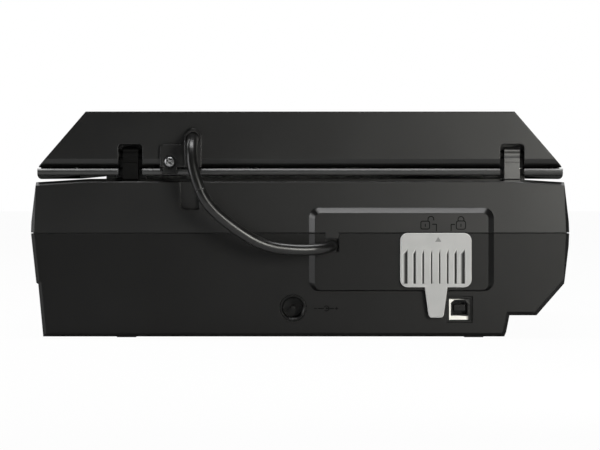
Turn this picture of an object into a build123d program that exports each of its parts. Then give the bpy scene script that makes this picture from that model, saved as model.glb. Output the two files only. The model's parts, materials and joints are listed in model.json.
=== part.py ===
from build123d import *
import math
import os

os.makedirs("parts", exist_ok=True)

# A flatbed photo scanner with a thick lid, in millimetres.
# Z is up, the hinged rear faces +Y, and the origin is at the middle of its base.

# Overall size
CASE_WIDTH = 280.0
REAR_Y = 237.5
FRONT_Y = -242.5
SEAM_Z = 54.8
SEAM_GAP = 0.5
DECK_Z = 83.0
RIM_Z = 81.6
RIM_Y = 227.0
CASE_BASE_Z = 1.0
WALL = 2.5
LID_TOP_Z = 118.0

# Case section seen from the rear, as X and Z; the -X side has an undercut along the whole case
HALF_WIDTH = CASE_WIDTH / 2
CASE_SECTION = (
    (-106.2, CASE_BASE_Z),
    (133.6, CASE_BASE_Z),
    (136.2, 28.3),
    (137.2, 28.9),
    (HALF_WIDTH, SEAM_Z),
    (139.0, 81.1),
    (110.0, DECK_Z),
    (-110.0, DECK_Z),
    (-139.0, 81.1),
    (-HALF_WIDTH, SEAM_Z),
    (-138.9, 30.3),
    (-122.95, 12.0),
    (-108.9, 12.0),
    (-107.2, 3.4),
)

# Case side view, as Y and Z: upright rear, rear rim, deck and the sloped front with its controls
ABOVE_DECK_Z = 90.0
DECK_FRONT_Y = -200.4
BROW = (-236.0, 74.0)
CHIN = (FRONT_Y, 58.0)
CHEEK = (FRONT_Y, 44.0)
TOE = (-236.0, CASE_BASE_Z)
CASE_PROFILE = (
    (REAR_Y, CASE_BASE_Z),
    (REAR_Y, RIM_Z),
    (RIM_Y, RIM_Z),
    (RIM_Y, ABOVE_DECK_Z),
    (DECK_FRONT_Y, ABOVE_DECK_Z),
    BROW,
    CHIN,
    CHEEK,
    TOE,
)
CORNER_RADIUS = 15.0
CORNER_SPARE = 0.5
CORNER_TAPER = 6.9
REAR_EDGE = 1.8
PLAN_REACH = 80.0

# Joint between the case halves: a tongue on the lower half in a rebate of the upper
TONGUE_RISE = 1.75
TONGUE_TOP_Z = SEAM_Z + TONGUE_RISE
TONGUE_INSET = 1.3
REBATE_INSET = 1.2

# Raised rear panel over the cable and the transport lock
PANEL_X = (-100.8, -4.6)
PANEL_Z = (24.7, 68.0)
PANEL_PROUD = 2.8
PANEL_SIDE_BEVEL = 3.1
PANEL_TOP_BEVEL = 2.8
PANEL_BASE_BEVEL = 0.5
PANEL_CORNER = 5.2
PANEL_FACE_CORNER = 3.2
PANEL_Y = REAR_Y + PANEL_PROUD
PANEL_BACK_Y = PANEL_Y - WALL
PANEL_POCKET_X = (-95.0, -10.0)
PANEL_POCKET_Z = (28.0, 63.0)

# Cable entry in the panel
CABLE_NOTCH_X = (-20.1, -12.9)
CABLE_NOTCH_Z = 45.1
NOTCH_TAB_Z = 52.0

# Cable recess under the lid cable
CABLE_RECESS_DEPTH = 4.0
CABLE_RECESS = ((62.6, 81.7), (52.3, 81.7), (52.3, 67.0), (60.6, 67.0), (62.1, 68.8))
RECESS_PAD_X = (49.8, 65.5)
RECESS_PAD_Z = (64.5, DECK_Z)
RECESS_PAD_THICK = 6.5

# Rear sockets
USB_CENTER = (-82.8, 15.1)
USB_SIDE = 10.8
USB_RECESS = 13.6
USB_RECESS_DEPTH = 1.5
USB_MOUTH = (9.1, 8.2)
USB_MOUTH_CENTER = (-82.9, 16.0)
USB_MOUTH_BEVEL = 1.8
USB_LINER = 0.6
USB_LINER_Y = 235.3
USB_Y = (220.0, 236.0)
USB_MOUTH_DEPTH = 9.0
USB_TONGUE = (5.6, 3.2)
USB_TONGUE_Y = 234.4
DC_CENTER = (3.7, 15.9)
DC_RING_RADIUS = 6.75
DC_BORE_RADIUS = 5.1
DC_BORE_CHAMFER = 0.9
DC_PIN_RADIUS = 1.1
DC_Y = (224.0, 237.1)
DC_BORE_DEPTH = 10.0
DC_PIN_BACK = 2.0
SOCKET_CLEARANCE = 0.2

# Feet and case screws
FOOT_SIZE = (10.0, 14.0)
FOOT_X = (-91.0, 91.0)
FOOT_Y = (-210.0, 210.0)
SCREW_POINTS = ((128.5, 228.5), (128.5, -226.0), (-100.0, 228.0), (-100.0, -227.0))
BOSS_RADIUS = 4.0
SCREW_RADIUS = 1.5
SCREW_SPARE = 0.05
SCREW_TOP_Z = 66.0
SCREW_HEAD_RADIUS = 2.9
SCREW_HEAD_Z = (CASE_BASE_Z, 3.2)

# Document glass and its bed
BED_X = 108.0
BED_Y = (-205.0, 107.0)
GLASS_MARGIN = 6.0
GLASS_TOP_Z = 81.4
GLASS_THICK = 3.0
GLASS_CLEARANCE = 0.3
GLASS_RIB = 2.0
STRIP_Y = (107.0, 113.0)
STRIP_THICK = 0.2

# Controls on the sloped front, along the face's own X
FACE_MIDDLE = (0.0, (BROW[0] + CHIN[0]) / 2, (BROW[1] + CHIN[1]) / 2)
FACE_RUN = (BROW[0] - CHIN[0], BROW[1] - CHIN[1])
FACE_LENGTH = math.hypot(*FACE_RUN)
FACE_NORMAL = (0.0, -FACE_RUN[1] / FACE_LENGTH, FACE_RUN[0] / FACE_LENGTH)
BEZEL_SIZE = (212.0, 13.0)
BEZEL_THICK = 1.0
BEZEL_CLEARANCE = 0.15
BEZEL_CORNER = 3.0
BUTTONS = (
    ("button_power", -88.0, 4.5),
    ("button_pdf", 26.0, 4.0),
    ("button_mail", 44.0, 4.0),
    ("button_copy", 62.0, 4.0),
    ("button_start", 85.0, 5.4),
)
BUTTON_GAP = 0.3
BUTTON_PROUD = 0.8
BUTTON_FLANGE = 1.0
BUTTON_FLANGE_GAP = 0.4
BUTTON_FLANGE_THICK = 1.0
BUTTON_STEM_RADIUS = 1.8
BUTTON_STEM_END = 6.0
BUTTON_EDGE = 0.5
SWITCH_TOP = 7.0
SWITCH_SIDE = 6.0
CONTROL_BOARD = (-10.6, -9.0)
CONTROL_BOARD_X = (-94.0, 104.0)
CONTROL_BOARD_WIDTH = 13.0
CONTROL_POSTS = (-58.0, -10.0, 99.0)
CONTROL_POST_RADIUS = 2.0
LENS_PLACE = -72.0
LENS_RADIUS = 1.4

# Main board
BOARD_X = (-92.0, 30.0)
BOARD_Y = (150.0, 232.0)
BOARD_Z = (8.0, 9.6)
BOARD_POSTS = ((-86.0, 156.0), (24.0, 156.0), (-60.0, 226.0), (24.0, 226.0))
BOARD_POST_RADIUS = 3.0
BOARD_PARTS = (
    ((-50.0, 185.0), (24.0, 24.0), 2.0),
    ((-15.0, 180.0), (14.0, 20.0), 1.6),
    ((8.0, 172.0), (10.0, 10.0), 12.0),
    ((-75.0, 175.0), (8.0, 18.0), 8.0),
    ((-30.0, 222.0), (20.0, 6.0), 7.0),
)

# Carriage, its rod and its rail
CARRIAGE_X = 112.0
CARRIAGE_Y = (161.0, 221.0)
CARRIAGE_Z = (28.0, 77.0)
CARRIAGE_WALL = 2.0
SCAN_LINE_Y = 176.0
SLIT_WIDTH = 8.0
ROD_X = 119.0
ROD_Z = 36.0
ROD_RADIUS = 4.0
ROD_Y = (-230.0, 232.0)
ROD_FIT = 0.05
BUSH_RADIUS = 6.0
ARM_X = 127.0
ARM_Y = (178.0, 208.0)
ARM_Z = (28.0, 45.0)
ROD_CLIP_WIDTH = 10.4
ROD_CLIP_Y = ((-229.0, -221.5), (222.5, 230.0))
ROD_CLIP_TOP = 42.5
RAIL_X = (-120.0, -115.0)
RAIL_Z = (33.0, 34.0)
RAIL_Y = (-222.0, 222.0)
RAIL_GAP = 0.3
RUNNER_X = -123.0
RUNNER_Y = (186.0, 200.0)
RUNNER_THICK = 5.0
LAMP_Y = (166.0, 170.5)
LAMP_Z = (69.0, 74.0)
MIRROR_SIZE = (12.0, 1.5)
MIRRORS = ((SCAN_LINE_Y, 36.0, 45.0), (211.0, 36.0, -45.0), (211.0, 58.0, 45.0))
LENS_RADIUS_CCD = 7.0
LENS_Y = (193.0, 203.0)
CCD_Y = (184.5, 186.1)
CCD_HALF_WIDTH = 35.0
CCD_TOP_Z = 68.0

# Belt drive: motor pinion, drive gear with the belt pulley, and the idler at the front
BELT_X = 96.0
DRIVE_Y = 205.0
IDLER_Y = -212.0
PULLEY_RADIUS = 8.0
BELT_FIT = 0.2
BELT_THICK = 1.2
BELT_Z = (22.4, 26.6)
PULLEY_Z = (21.8, 27.6)
FLANGE_RADIUS = 9.8
FLANGE_THICK = 0.5
GEAR_MODULE = 0.6
PINION_TEETH = 12
GEAR_TEETH = 48
GEAR_Z = (19.3, 21.8)
TOOTH_SHARE = 0.38
TOOTH_TIP = 0.8
TOOTH_ROOT = 1.25
AXLE_RADIUS = 1.5
AXLE_FIT = 0.05
AXLE_TOP_Z = 27.7
PLATE_X = (60.0, 113.0)
PLATE_Y = (186.0, 221.0)
PLATE_Z = (17.6, 18.6)
PLATE_POSTS = ((64.0, 190.0), (64.0, 217.0), (109.0, 217.0), (109.0, 190.0))
PLATE_POST_RADIUS = 2.5
MOTOR_RADIUS = 12.0
MOTOR_BASE_Z = 4.0
SHAFT_RADIUS = 1.0
SHAFT_BASE_Z = 15.0
IDLER_PLATE_Y = (-225.0, -200.0)
IDLER_PLATE_Z = (19.6, 21.0)
IDLER_POST_RADIUS = 5.0
CLIP_Y = (180.0, 190.0)
CLIP_JAW = 2.2
CLIP_GAP = 0.35
CLIP_BASE_Z = 22.0

# Transport lock, which slides towards -X
LOCK_PLATE_X = (-89.0, -51.9)
LOCK_PLATE_Z = (26.7, 54.9)
LOCK_PLATE_CORNER = 4.1
LOCK_THICK = 2.0
LOCK_FACE_Y = -FRONT_Y
LOCK_GAP = 0.2
LOCK_TAIL_X = -70.6
LOCK_TAIL_TOP = 11.8
LOCK_TAIL_WIDTH = 7.6
LOCK_TAIL_CORNER = 1.9
LOCK_NECK_RADIUS = 2.4
LOCK_TAIL_Z = 11.0
LOCK_TAIL_NECK_Z = 24.2
LOCK_TAIL_GAP = 0.4
LOCK_TRAVEL = 7.6
LOCK_RIM = 0.6
GROOVE_PITCH = 4.25
GROOVE_FIRST_X = -55.7
GROOVE_Z = (28.6, 47.2)
GROOVE_SLOPE_WIDTHS = (2.6, 1.7, 1.2, 0.9, 1.0, 1.2, 1.6, 2.7)
GROOVE_BEVEL = (0.9, 0.45)
GROOVE_DEPTH = 1.3
GROOVE_TOP_RUN = 3.2
ARROW_X = -71.6
ARROW_Z = (50.3, 52.9)
ARROW_DEPTH = 0.4
LOCK_STEM_X = (-70.0, -62.0)
LOCK_STEM_Z = (38.0, 46.0)
LOCK_STEM_GAP = 0.3
HOOK_PLATE_X = (-78.0, -58.0)
HOOK_PLATE_Z = (34.5, 49.5)
HOOK_PLATE_THICK = 2.0
HOOK_ARM_X = (-64.0, -58.0)
HOOK_PIN_Y = 230.5
HOOK_PIN_Z = 42.0
HOOK_PIN_RADIUS = 2.0
HOOK_PIN_TIP_X = -76.0
HOOK_ARM_HALF = 3.0
FORK_X = (-86.0, -79.0)
FORK_REAR_Y = 234.8
FORK_HALF = 5.0
FORK_GAP = 0.3

# Hinge posts, which rise out of guides in the case
POST_X = (88.3, -110.3)
POST_WIDTH = 8.1
POST_Y = (224.5, 232.5)
POST_HEAD_Y = 234.5
POST_BASE_Z = 43.5
POST_HEAD_Z = (82.4, 91.5)
PIVOT_Y = 230.0
PIVOT_Z = 95.5
BARREL_RADIUS = 4.0
POST_CROWN_Z = 99.0
POST_CROWN_Y = (227.0, 233.6)
POST_CROWN_RADIUS = 1.2
PIN_RADIUS = 2.0
PIN_FIT = 0.05
PIN_REACH = 12.5
GUIDE_WALL = 2.0
GUIDE_GAP = 0.25
GUIDE_BASE_Z = 42.0
POST_EDGE = 0.6

# Lid
LID_REAR_Y = 236.5
LID_FRONT_Y = -226.0
LID_FRONT_TOP_Y = -201.0
LID_SEAM_Z = 88.9
LID_SIDE_INSET = 3.4
LID_TOP_INSET = 28.5
LID_HALF_WIDTH = HALF_WIDTH - LID_SIDE_INSET
LID_TOP_HALF_WIDTH = HALF_WIDTH - LID_TOP_INSET
LID_WALL = 2.2
LID_CORNER = 10.0
LID_EDGE = 0.4
LID_TUCK = 1.9
LID_TUCK_RISE = 4.4
LID_TUCK_RADIUS = 4.0
SLOT_WIDTH = 12.5
SLOT_TOP_Z = 101.1
SLOT_CORNER = 2.0
SLOT_FRONT_Y = 222.0
SLOT_WALL = 2.0
LID_BOSSES = ((118.0, 205.0), (-116.0, 195.0), (118.0, -195.0), (-118.0, -195.0))
LID_BOSS_RADIUS = 3.5
LID_SCREW_RADIUS = 1.3
LID_SCREW_Z = (86.5, 98.0)
LID_SCREW_HEAD_RADIUS = 2.5
LID_SCREW_HEAD_THICK = 1.6

# Lid frame: the lower band with the floor of the lid
FRAME_TOP_Z = 88.3
FRAME_BASE_Z = 84.7
FRAME_END_Z = 82.6
FRAME_FLAT_X = 115.0
FRAME_SECTION = (
    (-LID_HALF_WIDTH, FRAME_TOP_Z),
    (LID_HALF_WIDTH, FRAME_TOP_Z),
    (LID_HALF_WIDTH, FRAME_END_Z),
    (FRAME_FLAT_X, FRAME_BASE_Z),
    (-FRAME_FLAT_X, FRAME_BASE_Z),
    (-LID_HALF_WIDTH, FRAME_END_Z),
)
FRAME_END_RADIUS = 2.2
FRAME_REAR_Y = 237.5
FRAME_HEEL = 2.0
FRAME_BROW = 0.9
FRAME_RING_INSET = (0.5, 1.7)
FRAME_RIB_GAP = 0.05
FRAME_RIB_Y = (217.0, 220.0)
FRAME_RIB_RIGHT_X = (80.0, 96.0)
FRAME_RIB_LEFT = (
    (-96.0, DECK_Z + FRAME_RIB_GAP),
    (-110.0, DECK_Z + FRAME_RIB_GAP),
    (-117.5, 82.55),
    (-117.5, FRAME_BASE_Z + 1),
    (-96.0, FRAME_BASE_Z + 1),
)
FRAME_FLOOR = 2.0
FRAME_CORNER = 12.0
FRAME_LIP_INSET = 4.2
FRAME_LIP_THICK = 1.4
FRAME_LIP_TOP_Z = 90.2
FRAME_LIP_REAR_Y = 212.0
MAT_SEAT_Z = 86.3
MAT_SEAT_X = 107.0
MAT_SEAT_Y = (-204.0, 106.0)
WINDOW_X = 36.0
WINDOW_Y = (-170.0, 72.0)
KEYHOLES = ((-75.0, -150.0), (75.0, -150.0), (-75.0, 60.0), (75.0, 60.0))
KEY_SLOT_WIDTH = 4.6
KEY_HOLE_SIZE = 10.0
KEY_TRAVEL = 10.0

# Lid light panel
WINDOW_GAP = 0.1
WINDOW_BASE_Z = 86.4
GUIDE_X = 38.0
GUIDE_Y = (-173.0, 75.0)
GUIDE_TOP_Z = 92.3
REFLECTOR_TOP_Z = 92.8
LED_X = (38.0, 40.0)
LID_BOARD_X = (20.0, 84.0)
LID_BOARD_Y = (170.0, 206.0)
LID_BOARD_Z = (92.3, 93.9)
LID_BOARD_POSTS = ((24.0, 174.0), (80.0, 174.0), (24.0, 202.0), (80.0, 202.0))
LID_BOARD_POST_RADIUS = 2.5
LID_BOARD_PARTS = (((40.0, 188.0), (14.0, 12.0), 9.0), ((65.0, 188.0), (16.0, 16.0), 2.0))

# Document mat under the lid
MAT_X = 106.0
MAT_Y = (-193.0, 105.0)
MAT_Z = (81.7, 86.0)
MAT_SHEET_THICK = 1.3
HOOK_STEM = (4.0, 5.0)
HOOK_HEAD = (8.0, 7.0)
HOOK_HEAD_Z = (88.5, 89.7)

# Cable cover, its screw and the lid's rear bumpers
COVER_X = (51.3, 72.8)
COVER_Z = (89.0, 100.8)
COVER_THICK = 2.0
COVER_CORNER = 2.0
DOME_X = (51.2, 59.9)
DOME_TOP_Z = 109.3
DOME_SLOPE = 3.4
DOME_TIP_RADIUS = 1.2
COVER_GUSSET = 3.0
DOME_THICK = 4.0
COVER_TAB_X = (64.0, 71.3)
COVER_TAB_Z = 86.0
COVER_TAB_GAP = 0.3
COVER_SCREW = (67.8, 91.8)
COVER_SCREW_RADIUS = 2.7
COVER_SCREW_SEAT = 3.4
COVER_SCREW_SEAT_DEPTH = 0.8
COVER_SCREW_THICK = 1.7
COVER_SHANK_RADIUS = 1.4
COVER_SHANK_Y = 228.0
CROSS_SLOT = (3.2, 0.8, 0.9)
LID_GLAND_RADIUS = 3.7
LID_GLAND_Y = (232.0, 240.0)
BUMPER_REAR_X = ((105.8, 114.6), (-103.0, -96.0))
BUMPER_REAR_Y = (222.0, 231.0)
BUMPER_REAR_Z = 83.9
BUMPER_FRONT_X = (-88.0, 88.0)
BUMPER_FRONT_Y = -208.0
BUMPER_FRONT_Z = 83.1
BUMPER_RADIUS = 4.0

# Lid cable: points of its route from the lid to the case, and where its two lengths meet
CABLE_RADIUS = 3.0
CABLE_UPPER = (
    (55.6, 233.0, 104.4),
    (55.6, 245.0, 104.0),
    (56.4, 255.4, 98.0),
    (55.1, 259.0, 86.5),
    (51.45, 260.0, 77.25),
)
CABLE_LOWER = (
    (51.45, 260.0, 77.25),
    (48.53, 260.8, 69.85),
    (33.8, 259.5, 57.4),
    (18.4, 256.5, 48.1),
    (2.0, 253.8, 46.1),
    (-11.3, 250.2, 46.6),
    (-16.9, 243.0, 48.2),
    (-16.9, 233.6, 48.6),
)
CASE_GLAND_X = (-21.4, -12.4)
CASE_GLAND_Y = (233.4, 237.6)
CASE_GLAND_Z = (44.4, 52.6)

BIG = 600.0


def around(middle, size):
    """The low and high end of a size about its middle."""
    return (middle - size / 2, middle + size / 2)


def span_box(x, y, z, mode=Mode.ADD):
    """A box in the open part, between low and high values along each axis."""
    with Locations(((x[0] + x[1]) / 2, (y[0] + y[1]) / 2, (z[0] + z[1]) / 2)):
        Box(x[1] - x[0], y[1] - y[0], z[1] - z[0], mode=mode)


def bar_x(x, y, z, radius, mode=Mode.ADD):
    """A round bar in the open part along X."""
    with Locations(((x[0] + x[1]) / 2, y, z)):
        Cylinder(radius, x[1] - x[0], rotation=(0, 90, 0), mode=mode)


def bar_y(x, y, z, radius, mode=Mode.ADD):
    """A round bar in the open part along Y."""
    with Locations((x, (y[0] + y[1]) / 2, z)):
        Cylinder(radius, y[1] - y[0], rotation=(90, 0, 0), mode=mode)


def bar_z(x, y, z, radius, mode=Mode.ADD):
    """A round bar in the open part along Z."""
    with Locations((x, y, (z[0] + z[1]) / 2)):
        Cylinder(radius, z[1] - z[0], mode=mode)


def case_prism(inset):
    """The case section run from rear to front and cut to the side view, moved in by an inset."""
    edge = REAR_EDGE if inset == 0 else 0
    with BuildPart() as prism:
        with BuildSketch(Plane.XZ.offset(inset + edge - REAR_Y)) as section:
            with BuildLine():
                Polyline(*CASE_SECTION, close=True)
            make_face()
            if inset > 0:
                offset(amount=-inset, kind=Kind.INTERSECTION)
        extrude(amount=REAR_Y - FRONT_Y)
        if edge > 0:
            add(section.sketch)
            with BuildSketch(Plane.XZ.offset(-REAR_Y)):
                with BuildLine():
                    Polyline(*CASE_SECTION, close=True)
                make_face()
                offset(amount=-edge, kind=Kind.INTERSECTION)
            loft(ruled=True)
        with BuildSketch(Plane.YZ.offset(-HALF_WIDTH)):
            with BuildLine():
                Polyline(*CASE_PROFILE, close=True)
            make_face()
            if inset > 0:
                offset(amount=-inset, kind=Kind.INTERSECTION)
        extrude(amount=CASE_WIDTH, mode=Mode.INTERSECT)
    return prism.part


def case_half(prism, inset, upper):
    """One half of a case prism, with its front corners rounded in plan."""
    width = CASE_WIDTH + 2 * CORNER_SPARE - 2 * inset
    front = FRONT_Y - CORNER_SPARE + inset
    depth = REAR_Y + PLAN_REACH - front
    way = 1 if upper else -1
    with BuildPart() as half:
        add(prism)
        with BuildSketch(Plane.XY.offset(SEAM_Z)):
            with Locations((0, front + depth / 2)):
                RectangleRounded(width, depth, CORNER_RADIUS - inset)
        extrude(amount=way * SEAM_Z, taper=CORNER_TAPER, mode=Mode.INTERSECT)
    return half.part


def rear_panel(low, high):
    """The raised rear panel with its bevels, between two heights."""
    middle_x = sum(PANEL_X) / 2
    width = PANEL_X[1] - PANEL_X[0]
    face_z = (PANEL_Z[0] + PANEL_BASE_BEVEL, PANEL_Z[1] - PANEL_TOP_BEVEL)
    with BuildPart() as panel:
        with BuildSketch(Plane.XZ.offset(-REAR_Y)):
            with Locations((middle_x, sum(PANEL_Z) / 2)):
                RectangleRounded(width, PANEL_Z[1] - PANEL_Z[0], PANEL_CORNER)
        with BuildSketch(Plane.XZ.offset(-PANEL_Y)):
            with Locations((middle_x, sum(face_z) / 2)):
                RectangleRounded(
                    width - 2 * PANEL_SIDE_BEVEL,
                    face_z[1] - face_z[0],
                    PANEL_FACE_CORNER,
                )
        loft(ruled=True)
        span_box(PANEL_X, (REAR_Y - 1, PANEL_Y), (low, high), mode=Mode.INTERSECT)
    return panel.part


case_outside = case_prism(0)
case_inside = case_prism(WALL)
case_tongue = case_prism(TONGUE_INSET)
case_rebate = case_prism(REBATE_INSET)
face_plane = Plane(origin=FACE_MIDDLE, x_dir=(1, 0, 0), z_dir=FACE_NORMAL)
lower_outside = case_half(case_outside, 0, False)
upper_outside = case_half(case_outside, 0, True)
lower_inside = case_half(case_inside, WALL, False)
upper_inside = case_half(case_inside, WALL, True)

# The two halves' rims at the seam
LOWER_TOP_Z = SEAM_Z - SEAM_GAP / 2
UPPER_BASE_Z = SEAM_Z + SEAM_GAP / 2
CEILING_Z = DECK_Z - WALL

# Hollow of the lower case, less the bosses, posts and ribs that stay in it
with BuildPart() as lower_hollow:
    add(lower_inside)
    for x, y in SCREW_POINTS:
        bar_z(x, y, (0, SEAM_Z), BOSS_RADIUS, mode=Mode.SUBTRACT)
    for x, y in BOARD_POSTS:
        bar_z(x, y, (0, BOARD_Z[0]), BOARD_POST_RADIUS, mode=Mode.SUBTRACT)
    for x, y in PLATE_POSTS:
        bar_z(x, y, (0, PLATE_Z[0]), PLATE_POST_RADIUS, mode=Mode.SUBTRACT)
    bar_z(BELT_X, IDLER_Y, (0, IDLER_PLATE_Z[0]), IDLER_POST_RADIUS, mode=Mode.SUBTRACT)
    span_box((RAIL_X[0] + 1, RAIL_X[1] - 1), RAIL_Y, (0, RAIL_Z[0]), mode=Mode.SUBTRACT)
    for y in ROD_CLIP_Y:
        span_box(
            around(ROD_X, ROD_CLIP_WIDTH), y, (0, ROD_Z - ROD_RADIUS - 2), mode=Mode.SUBTRACT
        )

# Tongue that stands in the upper half's rebate, and the ring that is cut for it there
with BuildPart() as tongue:
    add(case_half(case_tongue, TONGUE_INSET, False))
    add(case_half(case_tongue, TONGUE_INSET, True))
    span_box((-BIG, BIG), (-BIG, BIG), (LOWER_TOP_Z - 1, TONGUE_TOP_Z), mode=Mode.INTERSECT)
    add(lower_inside, mode=Mode.SUBTRACT)
    add(upper_inside, mode=Mode.SUBTRACT)
with BuildPart() as rebate:
    add(case_half(case_rebate, REBATE_INSET, True))
    span_box((-BIG, BIG), (-BIG, BIG), (0, TONGUE_TOP_Z), mode=Mode.INTERSECT)
    add(upper_inside, mode=Mode.SUBTRACT)

with BuildPart() as lower_case:
    add(lower_outside)
    span_box((-BIG, BIG), (-BIG, BIG), (0, LOWER_TOP_Z), mode=Mode.INTERSECT)
    add(rear_panel(PANEL_Z[0], LOWER_TOP_Z))
    add(lower_hollow.part, mode=Mode.SUBTRACT)
    # Pocket behind the panel
    span_box(
        PANEL_POCKET_X,
        (REAR_Y - WALL - 1, PANEL_BACK_Y),
        (PANEL_POCKET_Z[0], SEAM_Z),
        mode=Mode.SUBTRACT,
    )
    add(tongue.part)
    # Cable entry and the lock's slot
    span_box(CABLE_NOTCH_X, (REAR_Y - WALL, PANEL_Y + 1), (CABLE_NOTCH_Z, SEAM_Z), mode=Mode.SUBTRACT)
    span_box(
        (LOCK_STEM_X[0] - LOCK_TRAVEL - LOCK_STEM_GAP, LOCK_STEM_X[1] + LOCK_STEM_GAP),
        (REAR_Y - WALL, PANEL_Y + 1),
        (LOCK_STEM_Z[0] - LOCK_STEM_GAP, LOCK_STEM_Z[1] + LOCK_STEM_GAP),
        mode=Mode.SUBTRACT,
    )
    # Openings for the two rear sockets
    usb_hole = around(USB_CENTER[0], USB_SIDE + 2 * SOCKET_CLEARANCE)
    usb_hole_z = around(USB_CENTER[1], USB_SIDE + 2 * SOCKET_CLEARANCE)
    span_box(usb_hole, (REAR_Y - WALL - 1, REAR_Y + 1), usb_hole_z, mode=Mode.SUBTRACT)
    span_box(
        around(USB_CENTER[0], USB_RECESS),
        (REAR_Y - USB_RECESS_DEPTH, REAR_Y + 1),
        around(USB_CENTER[1], USB_RECESS),
        mode=Mode.SUBTRACT,
    )
    bar_y(
        DC_CENTER[0],
        (REAR_Y - WALL - 1, REAR_Y + 1),
        DC_CENTER[1],
        DC_RING_RADIUS + SOCKET_CLEARANCE,
        mode=Mode.SUBTRACT,
    )
    # Screw bores and their head seats
    for x, y in SCREW_POINTS:
        bar_z(x, y, (0, SEAM_Z), SCREW_RADIUS + SCREW_SPARE, mode=Mode.SUBTRACT)
        bar_z(x, y, (0, SCREW_HEAD_Z[1]), SCREW_HEAD_RADIUS + SCREW_SPARE, mode=Mode.SUBTRACT)
lower_case.part.label = "lower_case"
export_step(lower_case.part, "parts/lower_case.step")

# Hollow of the upper case, less its bosses, the pad behind the cable recess and the board posts
with BuildPart() as upper_hollow:
    add(upper_inside)
    for x, y in SCREW_POINTS:
        bar_z(x, y, (0, DECK_Z), BOSS_RADIUS, mode=Mode.SUBTRACT)
    span_box(
        RECESS_PAD_X, (REAR_Y - RECESS_PAD_THICK, REAR_Y), RECESS_PAD_Z, mode=Mode.SUBTRACT
    )
    with BuildSketch(face_plane.offset(-WALL / 2)):
        with Locations(*[(u, 0) for u in CONTROL_POSTS]):
            Circle(CONTROL_POST_RADIUS)
    extrude(amount=CONTROL_BOARD[1] + WALL / 2, mode=Mode.SUBTRACT)

with BuildPart() as upper_case:
    add(upper_outside)
    span_box((-BIG, BIG), (-BIG, BIG), (UPPER_BASE_Z, BIG), mode=Mode.INTERSECT)
    add(rear_panel(UPPER_BASE_Z, PANEL_Z[1]))
    add(upper_hollow.part, mode=Mode.SUBTRACT)
    add(rebate.part, mode=Mode.SUBTRACT)
    # Pocket behind the panel, closed below over the cable entry by a small tab
    span_box(
        PANEL_POCKET_X,
        (REAR_Y - WALL - 1, PANEL_BACK_Y),
        (0, PANEL_POCKET_Z[1]),
        mode=Mode.SUBTRACT,
    )
    span_box(
        (CABLE_NOTCH_X[0] + SOCKET_CLEARANCE, CABLE_NOTCH_X[1] - SOCKET_CLEARANCE),
        (PANEL_BACK_Y, PANEL_Y),
        (NOTCH_TAB_Z, UPPER_BASE_Z),
    )
    # Recess that the lid cable swings into
    with BuildSketch(Plane.XZ.offset(-REAR_Y - 1)):
        with BuildLine():
            Polyline(*CABLE_RECESS, close=True)
        make_face()
    extrude(amount=CABLE_RECESS_DEPTH + 1, mode=Mode.SUBTRACT)
    # Guides for the hinge posts
    for x in POST_X:
        guide_x = around(x, POST_WIDTH + 2 * GUIDE_GAP)
        guide_y = (POST_Y[0] - GUIDE_GAP, POST_Y[1] + GUIDE_GAP)
        span_box(
            (guide_x[0] - GUIDE_WALL, guide_x[1] + GUIDE_WALL),
            (guide_y[0] - GUIDE_WALL, guide_y[1] + GUIDE_WALL),
            (GUIDE_BASE_Z, CEILING_Z),
        )
        span_box(guide_x, guide_y, (0, DECK_Z + 1), mode=Mode.SUBTRACT)
    # Bed of the glass: its pocket under the deck, a rib round it and the opening
    glass_x = (-BED_X - GLASS_MARGIN - GLASS_CLEARANCE, BED_X + GLASS_MARGIN + GLASS_CLEARANCE)
    glass_y = (
        BED_Y[0] - GLASS_MARGIN - GLASS_CLEARANCE,
        BED_Y[1] + GLASS_MARGIN + GLASS_CLEARANCE,
    )
    span_box(
        (glass_x[0] - GLASS_RIB, glass_x[1] + GLASS_RIB),
        (glass_y[0] - GLASS_RIB, glass_y[1] + GLASS_RIB),
        (GLASS_TOP_Z - GLASS_THICK, CEILING_Z),
    )
    span_box(glass_x, glass_y, (GLASS_TOP_Z - GLASS_THICK, GLASS_TOP_Z), mode=Mode.SUBTRACT)
    span_box((-BED_X, BED_X), BED_Y, (0, DECK_Z + 1), mode=Mode.SUBTRACT)
    # Recess and holes of the controls
    with BuildSketch(face_plane):
        RectangleRounded(
            BEZEL_SIZE[0] + 2 * BEZEL_CLEARANCE,
            BEZEL_SIZE[1] + 2 * BEZEL_CLEARANCE,
            BEZEL_CORNER,
        )
    extrude(amount=-BEZEL_THICK, mode=Mode.SUBTRACT)
    with BuildSketch(face_plane):
        for _, u, radius in BUTTONS:
            with Locations((u, 0)):
                Circle(radius + BUTTON_GAP)
        with Locations((LENS_PLACE, 0)):
            Circle(LENS_RADIUS)
    extrude(amount=-2 * WALL, mode=Mode.SUBTRACT)
    for x, y in SCREW_POINTS:
        bar_z(x, y, (0, SCREW_TOP_Z), SCREW_RADIUS + SCREW_SPARE, mode=Mode.SUBTRACT)
upper_case.part.label = "upper_case"
export_step(upper_case.part, "parts/upper_case.step")

with BuildPart() as document_glass:
    span_box(
        (-BED_X - GLASS_MARGIN, BED_X + GLASS_MARGIN),
        (BED_Y[0] - GLASS_MARGIN, BED_Y[1] + GLASS_MARGIN),
        (GLASS_TOP_Z - GLASS_THICK, GLASS_TOP_Z),
    )
document_glass.part.label = "document_glass"
export_step(document_glass.part, "parts/document_glass.step")

# White and black reference strip on the glass, over the carriage's rest place
with BuildPart() as calibration_strip:
    strip_top = GLASS_TOP_Z - GLASS_THICK
    span_box((-BED_X, BED_X), STRIP_Y, (strip_top - STRIP_THICK, strip_top))
calibration_strip.part.label = "calibration_strip"
export_step(calibration_strip.part, "parts/calibration_strip.step")

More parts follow.
